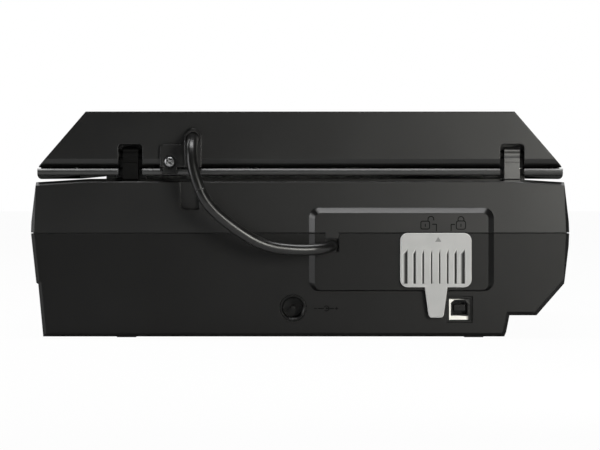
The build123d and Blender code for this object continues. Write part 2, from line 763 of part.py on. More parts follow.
with BuildPart() as feet:
    with Locations(*[(x, y, CASE_BASE_Z / 2) for x in FOOT_X for y in FOOT_Y]):
        Box(FOOT_SIZE[0], FOOT_SIZE[1], CASE_BASE_Z)
feet.part.label = "feet"
export_step(feet.part, "parts/feet.step")

with BuildPart() as case_screws:
    for x, y in SCREW_POINTS:
        bar_z(x, y, SCREW_HEAD_Z, SCREW_HEAD_RADIUS)
        bar_z(x, y, (SCREW_HEAD_Z[1], SCREW_TOP_Z - 1), SCREW_RADIUS)
        bar_z(x, y, around(SCREW_HEAD_Z[0], 1), SCREW_RADIUS / 2, mode=Mode.SUBTRACT)
case_screws.part.label = "case_screws"
export_step(case_screws.part, "parts/case_screws.step")

# Controls: a bezel let into the sloped front, five push buttons and their board
with BuildPart() as front_bezel:
    with BuildSketch(face_plane):
        RectangleRounded(BEZEL_SIZE[0], BEZEL_SIZE[1], BEZEL_CORNER)
        for _, u, radius in BUTTONS:
            with Locations((u, 0)):
                Circle(radius + BUTTON_GAP, mode=Mode.SUBTRACT)
        with Locations((LENS_PLACE, 0)):
            Circle(LENS_RADIUS, mode=Mode.SUBTRACT)
    extrude(amount=-BEZEL_THICK)
front_bezel.part.label = "front_bezel"
export_step(front_bezel.part, "parts/front_bezel.step")

with BuildPart() as status_lens:
    with BuildSketch(face_plane):
        with Locations((LENS_PLACE, 0)):
            Circle(LENS_RADIUS)
    extrude(amount=-WALL)
status_lens.part.label = "status_lens"
export_step(status_lens.part, "parts/status_lens.step")

FLANGE_TOP = WALL + BUTTON_FLANGE_GAP
for name, u, radius in BUTTONS:
    with BuildPart() as button:
        with BuildSketch(face_plane.offset(BUTTON_PROUD)):
            with Locations((u, 0)):
                Circle(radius)
        extrude(amount=-FLANGE_TOP - BUTTON_PROUD)
        fillet(button.faces().sort_by(Axis.Z)[-1].edges(), BUTTON_EDGE)
        with BuildSketch(face_plane.offset(-FLANGE_TOP)):
            with Locations((u, 0)):
                Circle(radius + BUTTON_FLANGE)
        extrude(amount=-BUTTON_FLANGE_THICK)
        with BuildSketch(face_plane.offset(-FLANGE_TOP)):
            with Locations((u, 0)):
                Circle(BUTTON_STEM_RADIUS)
        extrude(amount=FLANGE_TOP - BUTTON_STEM_END)
    button.part.label = name
    export_step(button.part, f"parts/{name}.step")

with BuildPart() as control_board:
    with BuildSketch(face_plane.offset(CONTROL_BOARD[1])):
        with Locations((sum(CONTROL_BOARD_X) / 2, 0)):
            Rectangle(CONTROL_BOARD_X[1] - CONTROL_BOARD_X[0], CONTROL_BOARD_WIDTH)
    extrude(amount=CONTROL_BOARD[0] - CONTROL_BOARD[1])
    with BuildSketch(face_plane.offset(CONTROL_BOARD[1])):
        for _, u, _ in BUTTONS:
            with Locations((u, 0)):
                Rectangle(SWITCH_SIDE, SWITCH_SIDE)
    extrude(amount=-CONTROL_BOARD[1] - SWITCH_TOP)
control_board.part.label = "control_board"
export_step(control_board.part, "parts/control_board.step")

# Main board on its posts, with the two sockets that show at the rear
with BuildPart() as main_board:
    span_box(BOARD_X, BOARD_Y, BOARD_Z)
    for (x, y), (size_x, size_y), height in BOARD_PARTS:
        span_box(around(x, size_x), around(y, size_y), (BOARD_Z[1], BOARD_Z[1] + height))
main_board.part.label = "main_board"
export_step(main_board.part, "parts/main_board.step")


def usb_mouth(inset, rear_y, length):
    """The data socket's bevelled mouth, moved in by an inset, as a prism that ends at rear_y."""
    with BuildPart() as prism:
        with BuildSketch(Plane.XZ.offset(-rear_y)):
            with Locations(USB_MOUTH_CENTER):
                mouth = Rectangle(USB_MOUTH[0] - 2 * inset, USB_MOUTH[1] - 2 * inset)
            chamfer(mouth.vertices().group_by(Axis.Y)[-1], USB_MOUTH_BEVEL - inset / 2)
        extrude(amount=length)
    return prism.part


with BuildPart() as usb_shell:
    span_box(around(USB_CENTER[0], USB_SIDE), USB_Y, around(USB_CENTER[1], USB_SIDE))
    add(usb_mouth(0, USB_Y[1], USB_MOUTH_DEPTH), mode=Mode.SUBTRACT)
usb_shell.part.label = "usb_shell"
export_step(usb_shell.part, "parts/usb_shell.step")

with BuildPart() as usb_tongue:
    mouth_back = USB_Y[1] - USB_MOUTH_DEPTH
    add(usb_mouth(0, USB_LINER_Y, USB_LINER_Y - mouth_back))
    add(usb_mouth(USB_LINER, USB_LINER_Y, USB_LINER_Y - mouth_back - USB_LINER), mode=Mode.SUBTRACT)
    span_box(
        around(USB_MOUTH_CENTER[0], USB_TONGUE[0]),
        (mouth_back, USB_TONGUE_Y),
        around(USB_MOUTH_CENTER[1], USB_TONGUE[1]),
    )
usb_tongue.part.label = "usb_tongue"
export_step(usb_tongue.part, "parts/usb_tongue.step")

with BuildPart() as dc_socket:
    bar_y(DC_CENTER[0], (BOARD_Y[1] + SOCKET_CLEARANCE, DC_Y[1]), DC_CENTER[1], DC_RING_RADIUS)
    span_box(
        around(DC_CENTER[0], 2 * DC_RING_RADIUS),
        (DC_Y[0], REAR_Y - WALL - SOCKET_CLEARANCE),
        (BOARD_Z[1], DC_CENTER[1] + DC_RING_RADIUS),
    )
    bar_y(
        DC_CENTER[0],
        (DC_Y[1] - DC_BORE_DEPTH, DC_Y[1] + 1),
        DC_CENTER[1],
        DC_BORE_RADIUS,
        mode=Mode.SUBTRACT,
    )
    bore_mouth = dc_socket.edges().filter_by(GeomType.CIRCLE).group_by(Axis.Y)[-1].sort_by(SortBy.RADIUS)[0]
    chamfer(bore_mouth, DC_BORE_CHAMFER)
    bar_y(
        DC_CENTER[0],
        (DC_Y[1] - DC_BORE_DEPTH, DC_Y[1] - DC_PIN_BACK),
        DC_CENTER[1],
        DC_PIN_RADIUS,
    )
dc_socket.part.label = "dc_socket"
export_step(dc_socket.part, "parts/dc_socket.step")

# Carriage with the scanning optics
with BuildPart() as carriage_frame:
    span_box((-CARRIAGE_X, CARRIAGE_X), CARRIAGE_Y, CARRIAGE_Z)
    span_box((CARRIAGE_X, ARM_X), ARM_Y, ARM_Z)
    span_box((RUNNER_X, -CARRIAGE_X), RUNNER_Y, (RAIL_Z[1] + RAIL_GAP, RAIL_Z[1] + RUNNER_THICK))
    span_box(
        (-CARRIAGE_X + CARRIAGE_WALL, CARRIAGE_X - CARRIAGE_WALL),
        (CARRIAGE_Y[0] + CARRIAGE_WALL, CARRIAGE_Y[1] - CARRIAGE_WALL),
        (CARRIAGE_Z[0] + CARRIAGE_WALL, CARRIAGE_Z[1] - CARRIAGE_WALL),
        mode=Mode.SUBTRACT,
    )
    span_box(
        (-CARRIAGE_X + 2 * CARRIAGE_WALL, CARRIAGE_X - 2 * CARRIAGE_WALL),
        around(SCAN_LINE_Y, SLIT_WIDTH),
        (CARRIAGE_Z[1] - 2 * CARRIAGE_WALL, CARRIAGE_Z[1] + 1),
        mode=Mode.SUBTRACT,
    )
    bar_y(ROD_X, (ARM_Y[0] - 1, ARM_Y[1] + 1), ROD_Z, BUSH_RADIUS, mode=Mode.SUBTRACT)
carriage_frame.part.label = "carriage_frame"
export_step(carriage_frame.part, "parts/carriage_frame.step")

# Fork on the carriage's rear, open above, that the transport lock's pin slides into
with BuildPart() as lock_fork:
    span_box(FORK_X, (CARRIAGE_Y[1], FORK_REAR_Y), around(HOOK_PIN_Z, 2 * FORK_HALF))
    span_box(
        FORK_X,
        around(HOOK_PIN_Y, 2 * (HOOK_PIN_RADIUS + FORK_GAP)),
        (HOOK_PIN_Z - HOOK_PIN_RADIUS - FORK_GAP, HOOK_PIN_Z + FORK_HALF),
        mode=Mode.SUBTRACT,
    )
lock_fork.part.label = "lock_fork"
export_step(lock_fork.part, "parts/lock_fork.step")

INSIDE_X = CARRIAGE_X - CARRIAGE_WALL
INSIDE_Z = CARRIAGE_Z[0] + CARRIAGE_WALL

with BuildPart() as scan_lamp:
    span_box((-INSIDE_X, INSIDE_X), LAMP_Y, LAMP_Z)
scan_lamp.part.label = "scan_lamp"
export_step(scan_lamp.part, "parts/scan_lamp.step")

with BuildPart() as mirrors:
    for y, z, lean in MIRRORS:
        with Locations(Location((0, y, z), (lean, 0, 0))):
            Box(2 * INSIDE_X, *MIRROR_SIZE)
mirrors.part.label = "mirrors"
export_step(mirrors.part, "parts/mirrors.step")

with BuildPart() as scan_lens:
    bar_y(0, LENS_Y, MIRRORS[2][1], LENS_RADIUS_CCD)
    span_box(around(0, LENS_RADIUS_CCD), LENS_Y, (INSIDE_Z, MIRRORS[2][1]))
scan_lens.part.label = "scan_lens"
export_step(scan_lens.part, "parts/scan_lens.step")

with BuildPart() as ccd_board:
    span_box((-CCD_HALF_WIDTH, CCD_HALF_WIDTH), CCD_Y, (INSIDE_Z, CCD_TOP_Z))
ccd_board.part.label = "ccd_board"
export_step(ccd_board.part, "parts/ccd_board.step")

with BuildPart() as rod_bush:
    bar_y(ROD_X, ARM_Y, ROD_Z, BUSH_RADIUS)
    bar_y(ROD_X, (ARM_Y[0] - 1, ARM_Y[1] + 1), ROD_Z, ROD_RADIUS + ROD_FIT, mode=Mode.SUBTRACT)
rod_bush.part.label = "rod_bush"
export_step(rod_bush.part, "parts/rod_bush.step")

# Clip under the carriage that grips the outer strand of the belt
STRAND_X = (BELT_X + PULLEY_RADIUS + BELT_FIT, BELT_X + PULLEY_RADIUS + BELT_FIT + BELT_THICK)
with BuildPart() as belt_clip:
    inner_jaw = STRAND_X[0] - CLIP_GAP
    outer_jaw = STRAND_X[1] + CLIP_GAP
    span_box((inner_jaw - CLIP_JAW, outer_jaw + CLIP_JAW), CLIP_Y, (CLIP_BASE_Z, CARRIAGE_Z[0]))
    span_box((inner_jaw, outer_jaw), CLIP_Y, (CLIP_BASE_Z, BELT_Z[1] + CLIP_GAP), mode=Mode.SUBTRACT)
belt_clip.part.label = "belt_clip"
export_step(belt_clip.part, "parts/belt_clip.step")

with BuildPart() as guide_rod:
    bar_y(ROD_X, ROD_Y, ROD_Z, ROD_RADIUS)
guide_rod.part.label = "guide_rod"
export_step(guide_rod.part, "parts/guide_rod.step")

with BuildPart() as rod_clips:
    clip_x = around(ROD_X, ROD_CLIP_WIDTH)
    for y in ROD_CLIP_Y:
        span_box(clip_x, y, (ROD_Z - ROD_RADIUS - 2, ROD_CLIP_TOP))
        bar_y(ROD_X, (y[0] - 1, y[1] + 1), ROD_Z, ROD_RADIUS, mode=Mode.SUBTRACT)
rod_clips.part.label = "rod_clips"
export_step(rod_clips.part, "parts/rod_clips.step")

with BuildPart() as slide_rail:
    span_box(RAIL_X, RAIL_Y, RAIL_Z)
slide_rail.part.label = "slide_rail"
export_step(slide_rail.part, "parts/slide_rail.step")


def toothed_disc(x, y, z, teeth, phase):
    """A spur wheel in the open part: a root disc and one tapered tooth per step."""
    pitch_radius = GEAR_MODULE * teeth / 2
    root = pitch_radius - TOOTH_ROOT * GEAR_MODULE
    tip = pitch_radius + TOOTH_TIP * GEAR_MODULE
    width = math.pi * GEAR_MODULE * TOOTH_SHARE
    bar_z(x, y, z, root)
    with BuildSketch(Plane((x, y, z[0]))) as wheel:
        with PolarLocations(0, teeth, start_angle=phase):
            with Locations(((root + tip) / 2 - 0.1, 0)):
                Trapezoid(width * 1.35, tip - root + 0.2, 78, rotation=-90)
    extrude(wheel.sketch, amount=z[1] - z[0])


PITCH_GEAR = GEAR_MODULE * GEAR_TEETH / 2
PITCH_PINION = GEAR_MODULE * PINION_TEETH / 2
MOTOR_X = BELT_X - PITCH_GEAR - PITCH_PINION

with BuildPart() as drive_gear:
    toothed_disc(BELT_X, DRIVE_Y, GEAR_Z, GEAR_TEETH, 180.0)
    bar_z(BELT_X, DRIVE_Y, PULLEY_Z, PULLEY_RADIUS)
    bar_z(BELT_X, DRIVE_Y, (PULLEY_Z[1] - FLANGE_THICK, PULLEY_Z[1]), FLANGE_RADIUS)
    bar_z(BELT_X, DRIVE_Y, (0, AXLE_TOP_Z), AXLE_RADIUS + AXLE_FIT, mode=Mode.SUBTRACT)
drive_gear.part.label = "drive_gear"
export_step(drive_gear.part, "parts/drive_gear.step")

with BuildPart() as motor_pinion:
    toothed_disc(MOTOR_X, DRIVE_Y, GEAR_Z, PINION_TEETH, 180.0 / PINION_TEETH)
    bar_z(MOTOR_X, DRIVE_Y, (SHAFT_BASE_Z, GEAR_Z[1]), SHAFT_RADIUS)
motor_pinion.part.label = "motor_pinion"
export_step(motor_pinion.part, "parts/motor_pinion.step")

with BuildPart() as drive_motor:
    bar_z(MOTOR_X, DRIVE_Y, (MOTOR_BASE_Z, PLATE_Z[0]), MOTOR_RADIUS)
    bar_z(
        MOTOR_X,
        DRIVE_Y,
        (SHAFT_BASE_Z - SOCKET_CLEARANCE, PLATE_Z[0]),
        SHAFT_RADIUS + AXLE_FIT,
        mode=Mode.SUBTRACT,
    )
drive_motor.part.label = "drive_motor"
export_step(drive_motor.part, "parts/drive_motor.step")

with BuildPart() as motor_plate:
    span_box(PLATE_X, PLATE_Y, PLATE_Z)
    bar_z(MOTOR_X, DRIVE_Y, (0, BIG), 2 * SHAFT_RADIUS, mode=Mode.SUBTRACT)
    bar_z(BELT_X, DRIVE_Y, (PLATE_Z[0], AXLE_TOP_Z), AXLE_RADIUS)
    bar_z(BELT_X, DRIVE_Y, (PLATE_Z[1], GEAR_Z[0] - AXLE_FIT), 2 * AXLE_RADIUS)
motor_plate.part.label = "motor_plate"
export_step(motor_plate.part, "parts/motor_plate.step")

with BuildPart() as idler_bracket:
    span_box(around(BELT_X, 2 * MOTOR_RADIUS), IDLER_PLATE_Y, IDLER_PLATE_Z)
    bar_z(BELT_X, IDLER_Y, (IDLER_PLATE_Z[0], AXLE_TOP_Z), AXLE_RADIUS)
idler_bracket.part.label = "idler_bracket"
export_step(idler_bracket.part, "parts/idler_bracket.step")

with BuildPart() as idler_pulley:
    idler_base = IDLER_PLATE_Z[1] + AXLE_FIT
    bar_z(BELT_X, IDLER_Y, (idler_base, PULLEY_Z[1]), PULLEY_RADIUS)
    bar_z(BELT_X, IDLER_Y, (idler_base, idler_base + FLANGE_THICK), FLANGE_RADIUS)
    bar_z(BELT_X, IDLER_Y, (PULLEY_Z[1] - FLANGE_THICK, PULLEY_Z[1]), FLANGE_RADIUS)
    bar_z(BELT_X, IDLER_Y, (0, BIG), AXLE_RADIUS + AXLE_FIT, mode=Mode.SUBTRACT)
idler_pulley.part.label = "idler_pulley"
export_step(idler_pulley.part, "parts/idler_pulley.step")

BELT_INSIDE = PULLEY_RADIUS + BELT_FIT
with BuildPart() as belt:
    with BuildSketch(Plane((BELT_X, (DRIVE_Y + IDLER_Y) / 2, BELT_Z[0]))):
        SlotCenterToCenter(DRIVE_Y - IDLER_Y, 2 * (BELT_INSIDE + BELT_THICK), rotation=90)
        SlotCenterToCenter(DRIVE_Y - IDLER_Y, 2 * BELT_INSIDE, rotation=90, mode=Mode.SUBTRACT)
    extrude(amount=BELT_Z[1] - BELT_Z[0])
belt.part.label = "belt"
export_step(belt.part, "parts/belt.step")

# Transport lock: the slider outside, and the hook behind the wall that holds the carriage
with BuildPart() as lock_slider:
    with BuildSketch(Plane.XZ.offset(-LOCK_FACE_Y)) as outline:
        with BuildLine():
            FilletPolyline(
                (LOCK_PLATE_X[0], LOCK_PLATE_Z[0]),
                (LOCK_PLATE_X[0], LOCK_PLATE_Z[1]),
                (LOCK_PLATE_X[1], LOCK_PLATE_Z[1]),
                (LOCK_PLATE_X[1], LOCK_PLATE_Z[0]),
                close=True,
                radius=LOCK_PLATE_CORNER,
            )
        make_face()
        with BuildLine():
            Polyline(
                (LOCK_TAIL_X - LOCK_TAIL_TOP / 2, LOCK_PLATE_Z[0]),
                (LOCK_TAIL_X - LOCK_TAIL_WIDTH / 2, LOCK_TAIL_Z),
                (LOCK_TAIL_X + LOCK_TAIL_WIDTH / 2, LOCK_TAIL_Z),
                (LOCK_TAIL_X + LOCK_TAIL_TOP / 2, LOCK_PLATE_Z[0]),
                close=True,
            )
        make_face()
        tail_corners = outline.vertices().group_by(Axis.Y)
        fillet(tail_corners[0], LOCK_TAIL_CORNER)
        neck = tail_corners[1].sort_by(lambda corner: abs(corner.X - LOCK_TAIL_X))[:2]
        fillet(neck, LOCK_NECK_RADIUS)
    extrude(amount=LOCK_THICK)
    rim = lock_slider.faces().sort_by(Axis.Y)[-1].outer_wire().edges()
    fillet(rim, LOCK_RIM)
    # The tail reaches back to the case under the raised panel
    span_box(
        around(LOCK_TAIL_X, LOCK_TAIL_WIDTH - 1),
        (REAR_Y + LOCK_TAIL_GAP, LOCK_FACE_Y - LOCK_THICK),
        (LOCK_TAIL_Z + 1, LOCK_TAIL_NECK_Z),
    )
    # Stem through the wall
    span_box(LOCK_STEM_X, (PANEL_BACK_Y - LOCK_GAP, LOCK_FACE_Y - LOCK_THICK), LOCK_STEM_Z)
    # Finger grooves: a slope down to a sharp step with a bevelled top, run out to a point above
    for index, width in enumerate(GROOVE_SLOPE_WIDTHS):
        step_x = GROOVE_FIRST_X - index * GROOVE_PITCH
        shoulder_z = GROOVE_Z[1] - GROOVE_TOP_RUN
        with BuildSketch(Plane.XY.offset(GROOVE_Z[0])) as cut:
            with BuildLine():
                Polyline(
                    (step_x + width, LOCK_FACE_Y),
                    (step_x, LOCK_FACE_Y - GROOVE_DEPTH),
                    (step_x, LOCK_FACE_Y - GROOVE_BEVEL[1]),
                    (step_x - GROOVE_BEVEL[0], LOCK_FACE_Y),
                    close=True,
                )
            make_face()
        extrude(amount=shoulder_z - GROOVE_Z[0], mode=Mode.SUBTRACT)
        tip = Vertex(step_x, LOCK_FACE_Y, GROOVE_Z[1])
        top = Plane.XY.offset(shoulder_z - GROOVE_Z[0]).location * cut.sketch
        loft([top, tip], ruled=True, mode=Mode.SUBTRACT)
    with BuildSketch(Plane.XZ.offset(-LOCK_FACE_Y)):
        with BuildLine():
            Polyline(
                (ARROW_X - 1.6, ARROW_Z[0]),
                (ARROW_X + 1.6, ARROW_Z[0]),
                (ARROW_X, ARROW_Z[1]),
                close=True,
            )
        make_face()
    extrude(amount=ARROW_DEPTH, mode=Mode.SUBTRACT)
lock_slider.part.label = "lock_slider"
export_step(lock_slider.part, "parts/lock_slider.step")

HOOK_BACK_Y = PANEL_BACK_Y - LOCK_GAP
with BuildPart() as lock_hook:
    span_box(HOOK_PLATE_X, (HOOK_BACK_Y - HOOK_PLATE_THICK, HOOK_BACK_Y), HOOK_PLATE_Z)
    span_box(
        HOOK_ARM_X,
        (HOOK_PIN_Y - HOOK_ARM_HALF, HOOK_BACK_Y - HOOK_PLATE_THICK),
        around(HOOK_PIN_Z, 2 * HOOK_ARM_HALF),
    )
    bar_x((HOOK_PIN_TIP_X, HOOK_ARM_X[0]), HOOK_PIN_Y, HOOK_PIN_Z, HOOK_PIN_RADIUS)
lock_hook.part.label = "lock_hook"
export_step(lock_hook.part, "parts/lock_hook.step")

# Hinge posts
for name, x in zip(("hinge_post_right", "hinge_post_left"), POST_X):
    with BuildPart() as post:
        post_x = around(x, POST_WIDTH)
        span_box(post_x, POST_Y, (POST_BASE_Z, POST_HEAD_Z[0]))
        span_box(post_x, (POST_Y[0], POST_HEAD_Y), POST_HEAD_Z)
        chamfer(post.edges().filter_by(Axis.X).sort_by(Axis.Y)[-1:], POST_EDGE)
        span_box(post_x, POST_CROWN_Y, (POST_HEAD_Z[1], POST_CROWN_Z))
        crown = post.edges().filter_by(Axis.X).group_by(Axis.Z)[-1]
        fillet(crown, POST_CROWN_RADIUS)
        bar_x(post_x, PIVOT_Y, PIVOT_Z, BARREL_RADIUS)
        bar_x((x - BIG, x + BIG), PIVOT_Y, PIVOT_Z, PIN_RADIUS + PIN_FIT, mode=Mode.SUBTRACT)
    post.part.label = name
    export_step(post.part, f"parts/{name}.step")

# Lid: slopes on three sides, upright at the rear
SIDE_RUN = (LID_HALF_WIDTH - LID_TOP_HALF_WIDTH) / (LID_TOP_Z - LID_SEAM_Z)


def lid_form(inset):
    """The lid shell's outside, moved in by a wall and left open below."""
    base_z = LID_SEAM_Z - inset
    base_half = LID_HALF_WIDTH + inset * SIDE_RUN
    base_front = LID_FRONT_Y - inset * SIDE_RUN
    base_rear = LID_REAR_Y - LID_TUCK * (1 + inset / LID_TUCK_RISE)
    with BuildPart() as form:
        with BuildSketch(Plane.XZ.offset(inset - LID_REAR_Y)):
            with BuildLine():
                Polyline(
                    (-base_half, base_z),
                    (base_half, base_z),
                    (LID_TOP_HALF_WIDTH, LID_TOP_Z),
                    (-LID_TOP_HALF_WIDTH, LID_TOP_Z),
                    close=True,
                )
            make_face()
            if inset > 0:
                offset(amount=-inset, kind=Kind.INTERSECTION)
        extrude(amount=BIG)
        with BuildSketch(Plane.YZ.offset(-BIG)):
            with BuildLine():
                Polyline(
                    (base_front, base_z),
                    (base_rear, base_z),
                    (LID_REAR_Y, LID_SEAM_Z + LID_TUCK_RISE),
                    (LID_REAR_Y, LID_TOP_Z),
                    (LID_FRONT_TOP_Y, LID_TOP_Z),
                    close=True,
                )
            side = make_face()
            if inset > 0:
                offset(amount=-inset, kind=Kind.INTERSECTION)
            else:
                fillet(side.vertices().sort_by(Axis.Z)[-3], LID_TUCK_RADIUS)
        extrude(amount=2 * BIG, mode=Mode.INTERSECT)
        if inset == 0:
            corners = [
                e
                for e in form.edges()
                if abs(e.center().Y - (LID_FRONT_Y + LID_FRONT_TOP_Y) / 2) < 1
                and abs(e.center().X) > LID_TOP_HALF_WIDTH
            ]
            fillet(corners, LID_CORNER)
            top = form.faces().sort_by(Axis.Z)[-1]
            rear_sides = [
                e
                for e in form.edges()
                if e.center().Y > LID_REAR_Y - LID_TUCK and abs(e.center().X) > LID_TOP_HALF_WIDTH
            ]
            fillet(top.edges() + rear_sides, LID_EDGE)
    return form.part


with BuildPart() as lid_hollow:
    add(lid_form(LID_WALL))
    for x, y in LID_BOSSES:
        bar_z(x, y, (0, LID_TOP_Z), LID_BOSS_RADIUS, mode=Mode.SUBTRACT)
    for x in POST_X:
        span_box(
            around(x, SLOT_WIDTH + 2 * SLOT_WALL),
            (SLOT_FRONT_Y - SLOT_WALL, LID_REAR_Y),
            (0, SLOT_TOP_Z + SLOT_WALL),
            mode=Mode.SUBTRACT,
        )

with BuildPart() as lid_shell:
    add(lid_form(0))
    add(lid_hollow.part, mode=Mode.SUBTRACT)
    for x in POST_X:
        with BuildSketch(Plane.XZ.offset(-LID_REAR_Y - 1)):
            with Locations((x, SLOT_TOP_Z - LID_TOP_Z / 2)):
                RectangleRounded(SLOT_WIDTH, LID_TOP_Z, SLOT_CORNER)
        extrude(amount=LID_REAR_Y + 1 - SLOT_FRONT_Y, mode=Mode.SUBTRACT)
        bar_x(
            around(x, SLOT_WIDTH + 2 * SLOT_WALL + 1),
            PIVOT_Y,
            PIVOT_Z,
            PIN_RADIUS + PIN_FIT,
            mode=Mode.SUBTRACT,
        )
    for x, y in LID_BOSSES:
        bar_z(x, y, (0, LID_SCREW_Z[1]), LID_SCREW_RADIUS + SCREW_SPARE, mode=Mode.SUBTRACT)
    bar_y(
        CABLE_UPPER[0][0],
        (LID_REAR_Y - 2 * LID_WALL, LID_REAR_Y + 1),
        CABLE_UPPER[0][2],
        LID_GLAND_RADIUS,
        mode=Mode.SUBTRACT,
    )
    bar_y(
        COVER_SCREW[0],
        (LID_REAR_Y - 2 * LID_WALL, LID_REAR_Y + 1),
        COVER_SCREW[1],
        COVER_SHANK_RADIUS + SCREW_SPARE,
        mode=Mode.SUBTRACT,
    )
lid_shell.part.label = "lid_shell"
export_step(lid_shell.part, "parts/lid_shell.step")


def frame_plan(inset, low, high, rear_y=LID_REAR_Y):
    """The lid frame's plan moved in by an inset, as a slab between two heights."""
    width = 2 * (LID_HALF_WIDTH - inset)
    depth = LID_REAR_Y - LID_FRONT_Y + PLAN_REACH
    with BuildPart() as slab:
        with BuildSketch(Plane.XY.offset(low)):
            with Locations((0, LID_FRONT_Y + inset + depth / 2)):
                RectangleRounded(width, depth, FRAME_CORNER - inset)
        extrude(amount=high - low)
        span_box((-BIG, BIG), (-BIG, rear_y - inset), (low, high), mode=Mode.INTERSECT)
    return slab.part


# Hollow of the frame's band, less the mat's seat, the hinge slots and the screw seats
with BuildPart() as band_hollow:
    add(frame_plan(FRAME_LIP_INSET + FRAME_LIP_THICK, FRAME_BASE_Z + FRAME_FLOOR, FRAME_TOP_Z + 1))
    span_box(
        (-MAT_SEAT_X - FRAME_FLOOR, MAT_SEAT_X + FRAME_FLOOR),
        (MAT_SEAT_Y[0] - FRAME_FLOOR, MAT_SEAT_Y[1] + FRAME_FLOOR),
        (0, LID_TOP_Z),
        mode=Mode.SUBTRACT,
    )
    for x in POST_X:
        span_box(
            around(x, SLOT_WIDTH + 2 * SLOT_WALL),
            (SLOT_FRONT_Y - SLOT_WALL, LID_REAR_Y),
            (0, LID_TOP_Z),
            mode=Mode.SUBTRACT,
        )
    for x, y in LID_BOSSES:
        bar_z(x, y, (0, LID_TOP_Z), LID_BOSS_RADIUS, mode=Mode.SUBTRACT)
    for x, y in LID_BOARD_POSTS:
        bar_z(x, y, (0, LID_TOP_Z), LID_BOARD_POST_RADIUS, mode=Mode.SUBTRACT)

with BuildPart() as lid_frame:
    with BuildSketch(Plane.XZ.offset(-FRAME_REAR_Y)) as section:
        with BuildLine():
            Polyline(*FRAME_SECTION, close=True)
        make_face()
        fillet(section.vertices().group_by(Axis.Y)[0], FRAME_END_RADIUS)
    extrude(amount=FRAME_REAR_Y - LID_FRONT_Y)
    add(frame_plan(0, FRAME_END_Z, FRAME_TOP_Z, FRAME_REAR_Y), mode=Mode.INTERSECT)
    # Rounded heel along the rear, which swings over the case's rim
    with BuildSketch(Plane.YZ.offset(-HALF_WIDTH)):
        with BuildLine():
            Polyline(
                (FRAME_REAR_Y - FRAME_HEEL, FRAME_BASE_Z),
                (FRAME_REAR_Y - 2 * FRAME_HEEL, FRAME_BASE_Z - FRAME_HEEL),
                (FRAME_REAR_Y + 1, FRAME_BASE_Z - FRAME_HEEL),
                (FRAME_REAR_Y + 1, FRAME_BASE_Z + FRAME_HEEL),
                (FRAME_REAR_Y, FRAME_BASE_Z + FRAME_HEEL),
            )
            RadiusArc(
                (FRAME_REAR_Y, FRAME_BASE_Z + FRAME_HEEL),
                (FRAME_REAR_Y - FRAME_HEEL, FRAME_BASE_Z),
                FRAME_HEEL,
            )
        make_face()
    extrude(amount=CASE_WIDTH, mode=Mode.SUBTRACT)
    brow = lid_frame.edges().filter_by(Axis.X).group_by(Axis.Z)[-1].sort_by(Axis.Y)[-1]
    chamfer(brow, FRAME_BROW)
    add(band_hollow.part, mode=Mode.SUBTRACT)
    # Ring that closes the seam under the shell's rim
    rim_y = LID_REAR_Y - LID_TUCK
    add(frame_plan(FRAME_RING_INSET[0], FRAME_TOP_Z - FRAME_BROW, LID_SEAM_Z, rim_y))
    add(frame_plan(FRAME_RING_INSET[1], FRAME_TOP_Z, LID_SEAM_Z, rim_y), mode=Mode.SUBTRACT)
    # Ribs that close the view under the lid at the hinge slots
    span_box(FRAME_RIB_RIGHT_X, FRAME_RIB_Y, (DECK_Z + FRAME_RIB_GAP, FRAME_BASE_Z + 1))
    with BuildSketch(Plane.XZ.offset(-FRAME_RIB_Y[1])):
        with BuildLine():
            Polyline(*FRAME_RIB_LEFT, close=True)
        make_face()
    extrude(amount=FRAME_RIB_Y[1] - FRAME_RIB_Y[0])
    # Lip that stands inside the shell
    add(frame_plan(FRAME_LIP_INSET, FRAME_TOP_Z, FRAME_LIP_TOP_Z))
    add(
        frame_plan(FRAME_LIP_INSET + FRAME_LIP_THICK, FRAME_TOP_Z, FRAME_LIP_TOP_Z),
        mode=Mode.SUBTRACT,
    )
    span_box(
        (-BIG, BIG), (FRAME_LIP_REAR_Y, BIG), (FRAME_TOP_Z, FRAME_LIP_TOP_Z), mode=Mode.SUBTRACT
    )
    # Lid board posts
    for x, y in LID_BOARD_POSTS:
        bar_z(x, y, (FRAME_BASE_Z + 1, LID_BOARD_Z[0]), LID_BOARD_POST_RADIUS)
    # Seat of the mat, the light window and the keyholes that hold the mat
    span_box((-MAT_SEAT_X, MAT_SEAT_X), MAT_SEAT_Y, (0, MAT_SEAT_Z), mode=Mode.SUBTRACT)
    span_box((-WINDOW_X, WINDOW_X), WINDOW_Y, (0, LID_TOP_Z), mode=Mode.SUBTRACT)
    for x, y in KEYHOLES:
        span_box(
            around(x, KEY_SLOT_WIDTH),
            (y - KEY_TRAVEL, y + KEY_SLOT_WIDTH),
            (0, LID_TOP_Z),
            mode=Mode.SUBTRACT,
        )
        span_box(
            around(x, KEY_HOLE_SIZE),
            around(y - KEY_TRAVEL, KEY_HOLE_SIZE - 1),
            (0, LID_TOP_Z),
            mode=Mode.SUBTRACT,
        )
    for x in POST_X:
        span_box(around(x, SLOT_WIDTH), (SLOT_FRONT_Y, BIG), (0, LID_TOP_Z), mode=Mode.SUBTRACT)
    # Notch behind the cable cover's tab
    span_box(
        (COVER_TAB_X[0] - COVER_TAB_GAP, COVER_TAB_X[1] + COVER_TAB_GAP),
        (LID_REAR_Y, BIG),
        (COVER_TAB_Z - COVER_TAB_GAP, LID_SEAM_Z),
        mode=Mode.SUBTRACT,
    )
    for x, y in LID_BOSSES:
        bar_z(x, y, (0, LID_TOP_Z), LID_SCREW_RADIUS + SCREW_SPARE, mode=Mode.SUBTRACT)
        bar_z(x, y, (0, LID_SCREW_Z[0]), LID_SCREW_HEAD_RADIUS + SCREW_SPARE, mode=Mode.SUBTRACT)
lid_frame.part.label = "lid_frame"
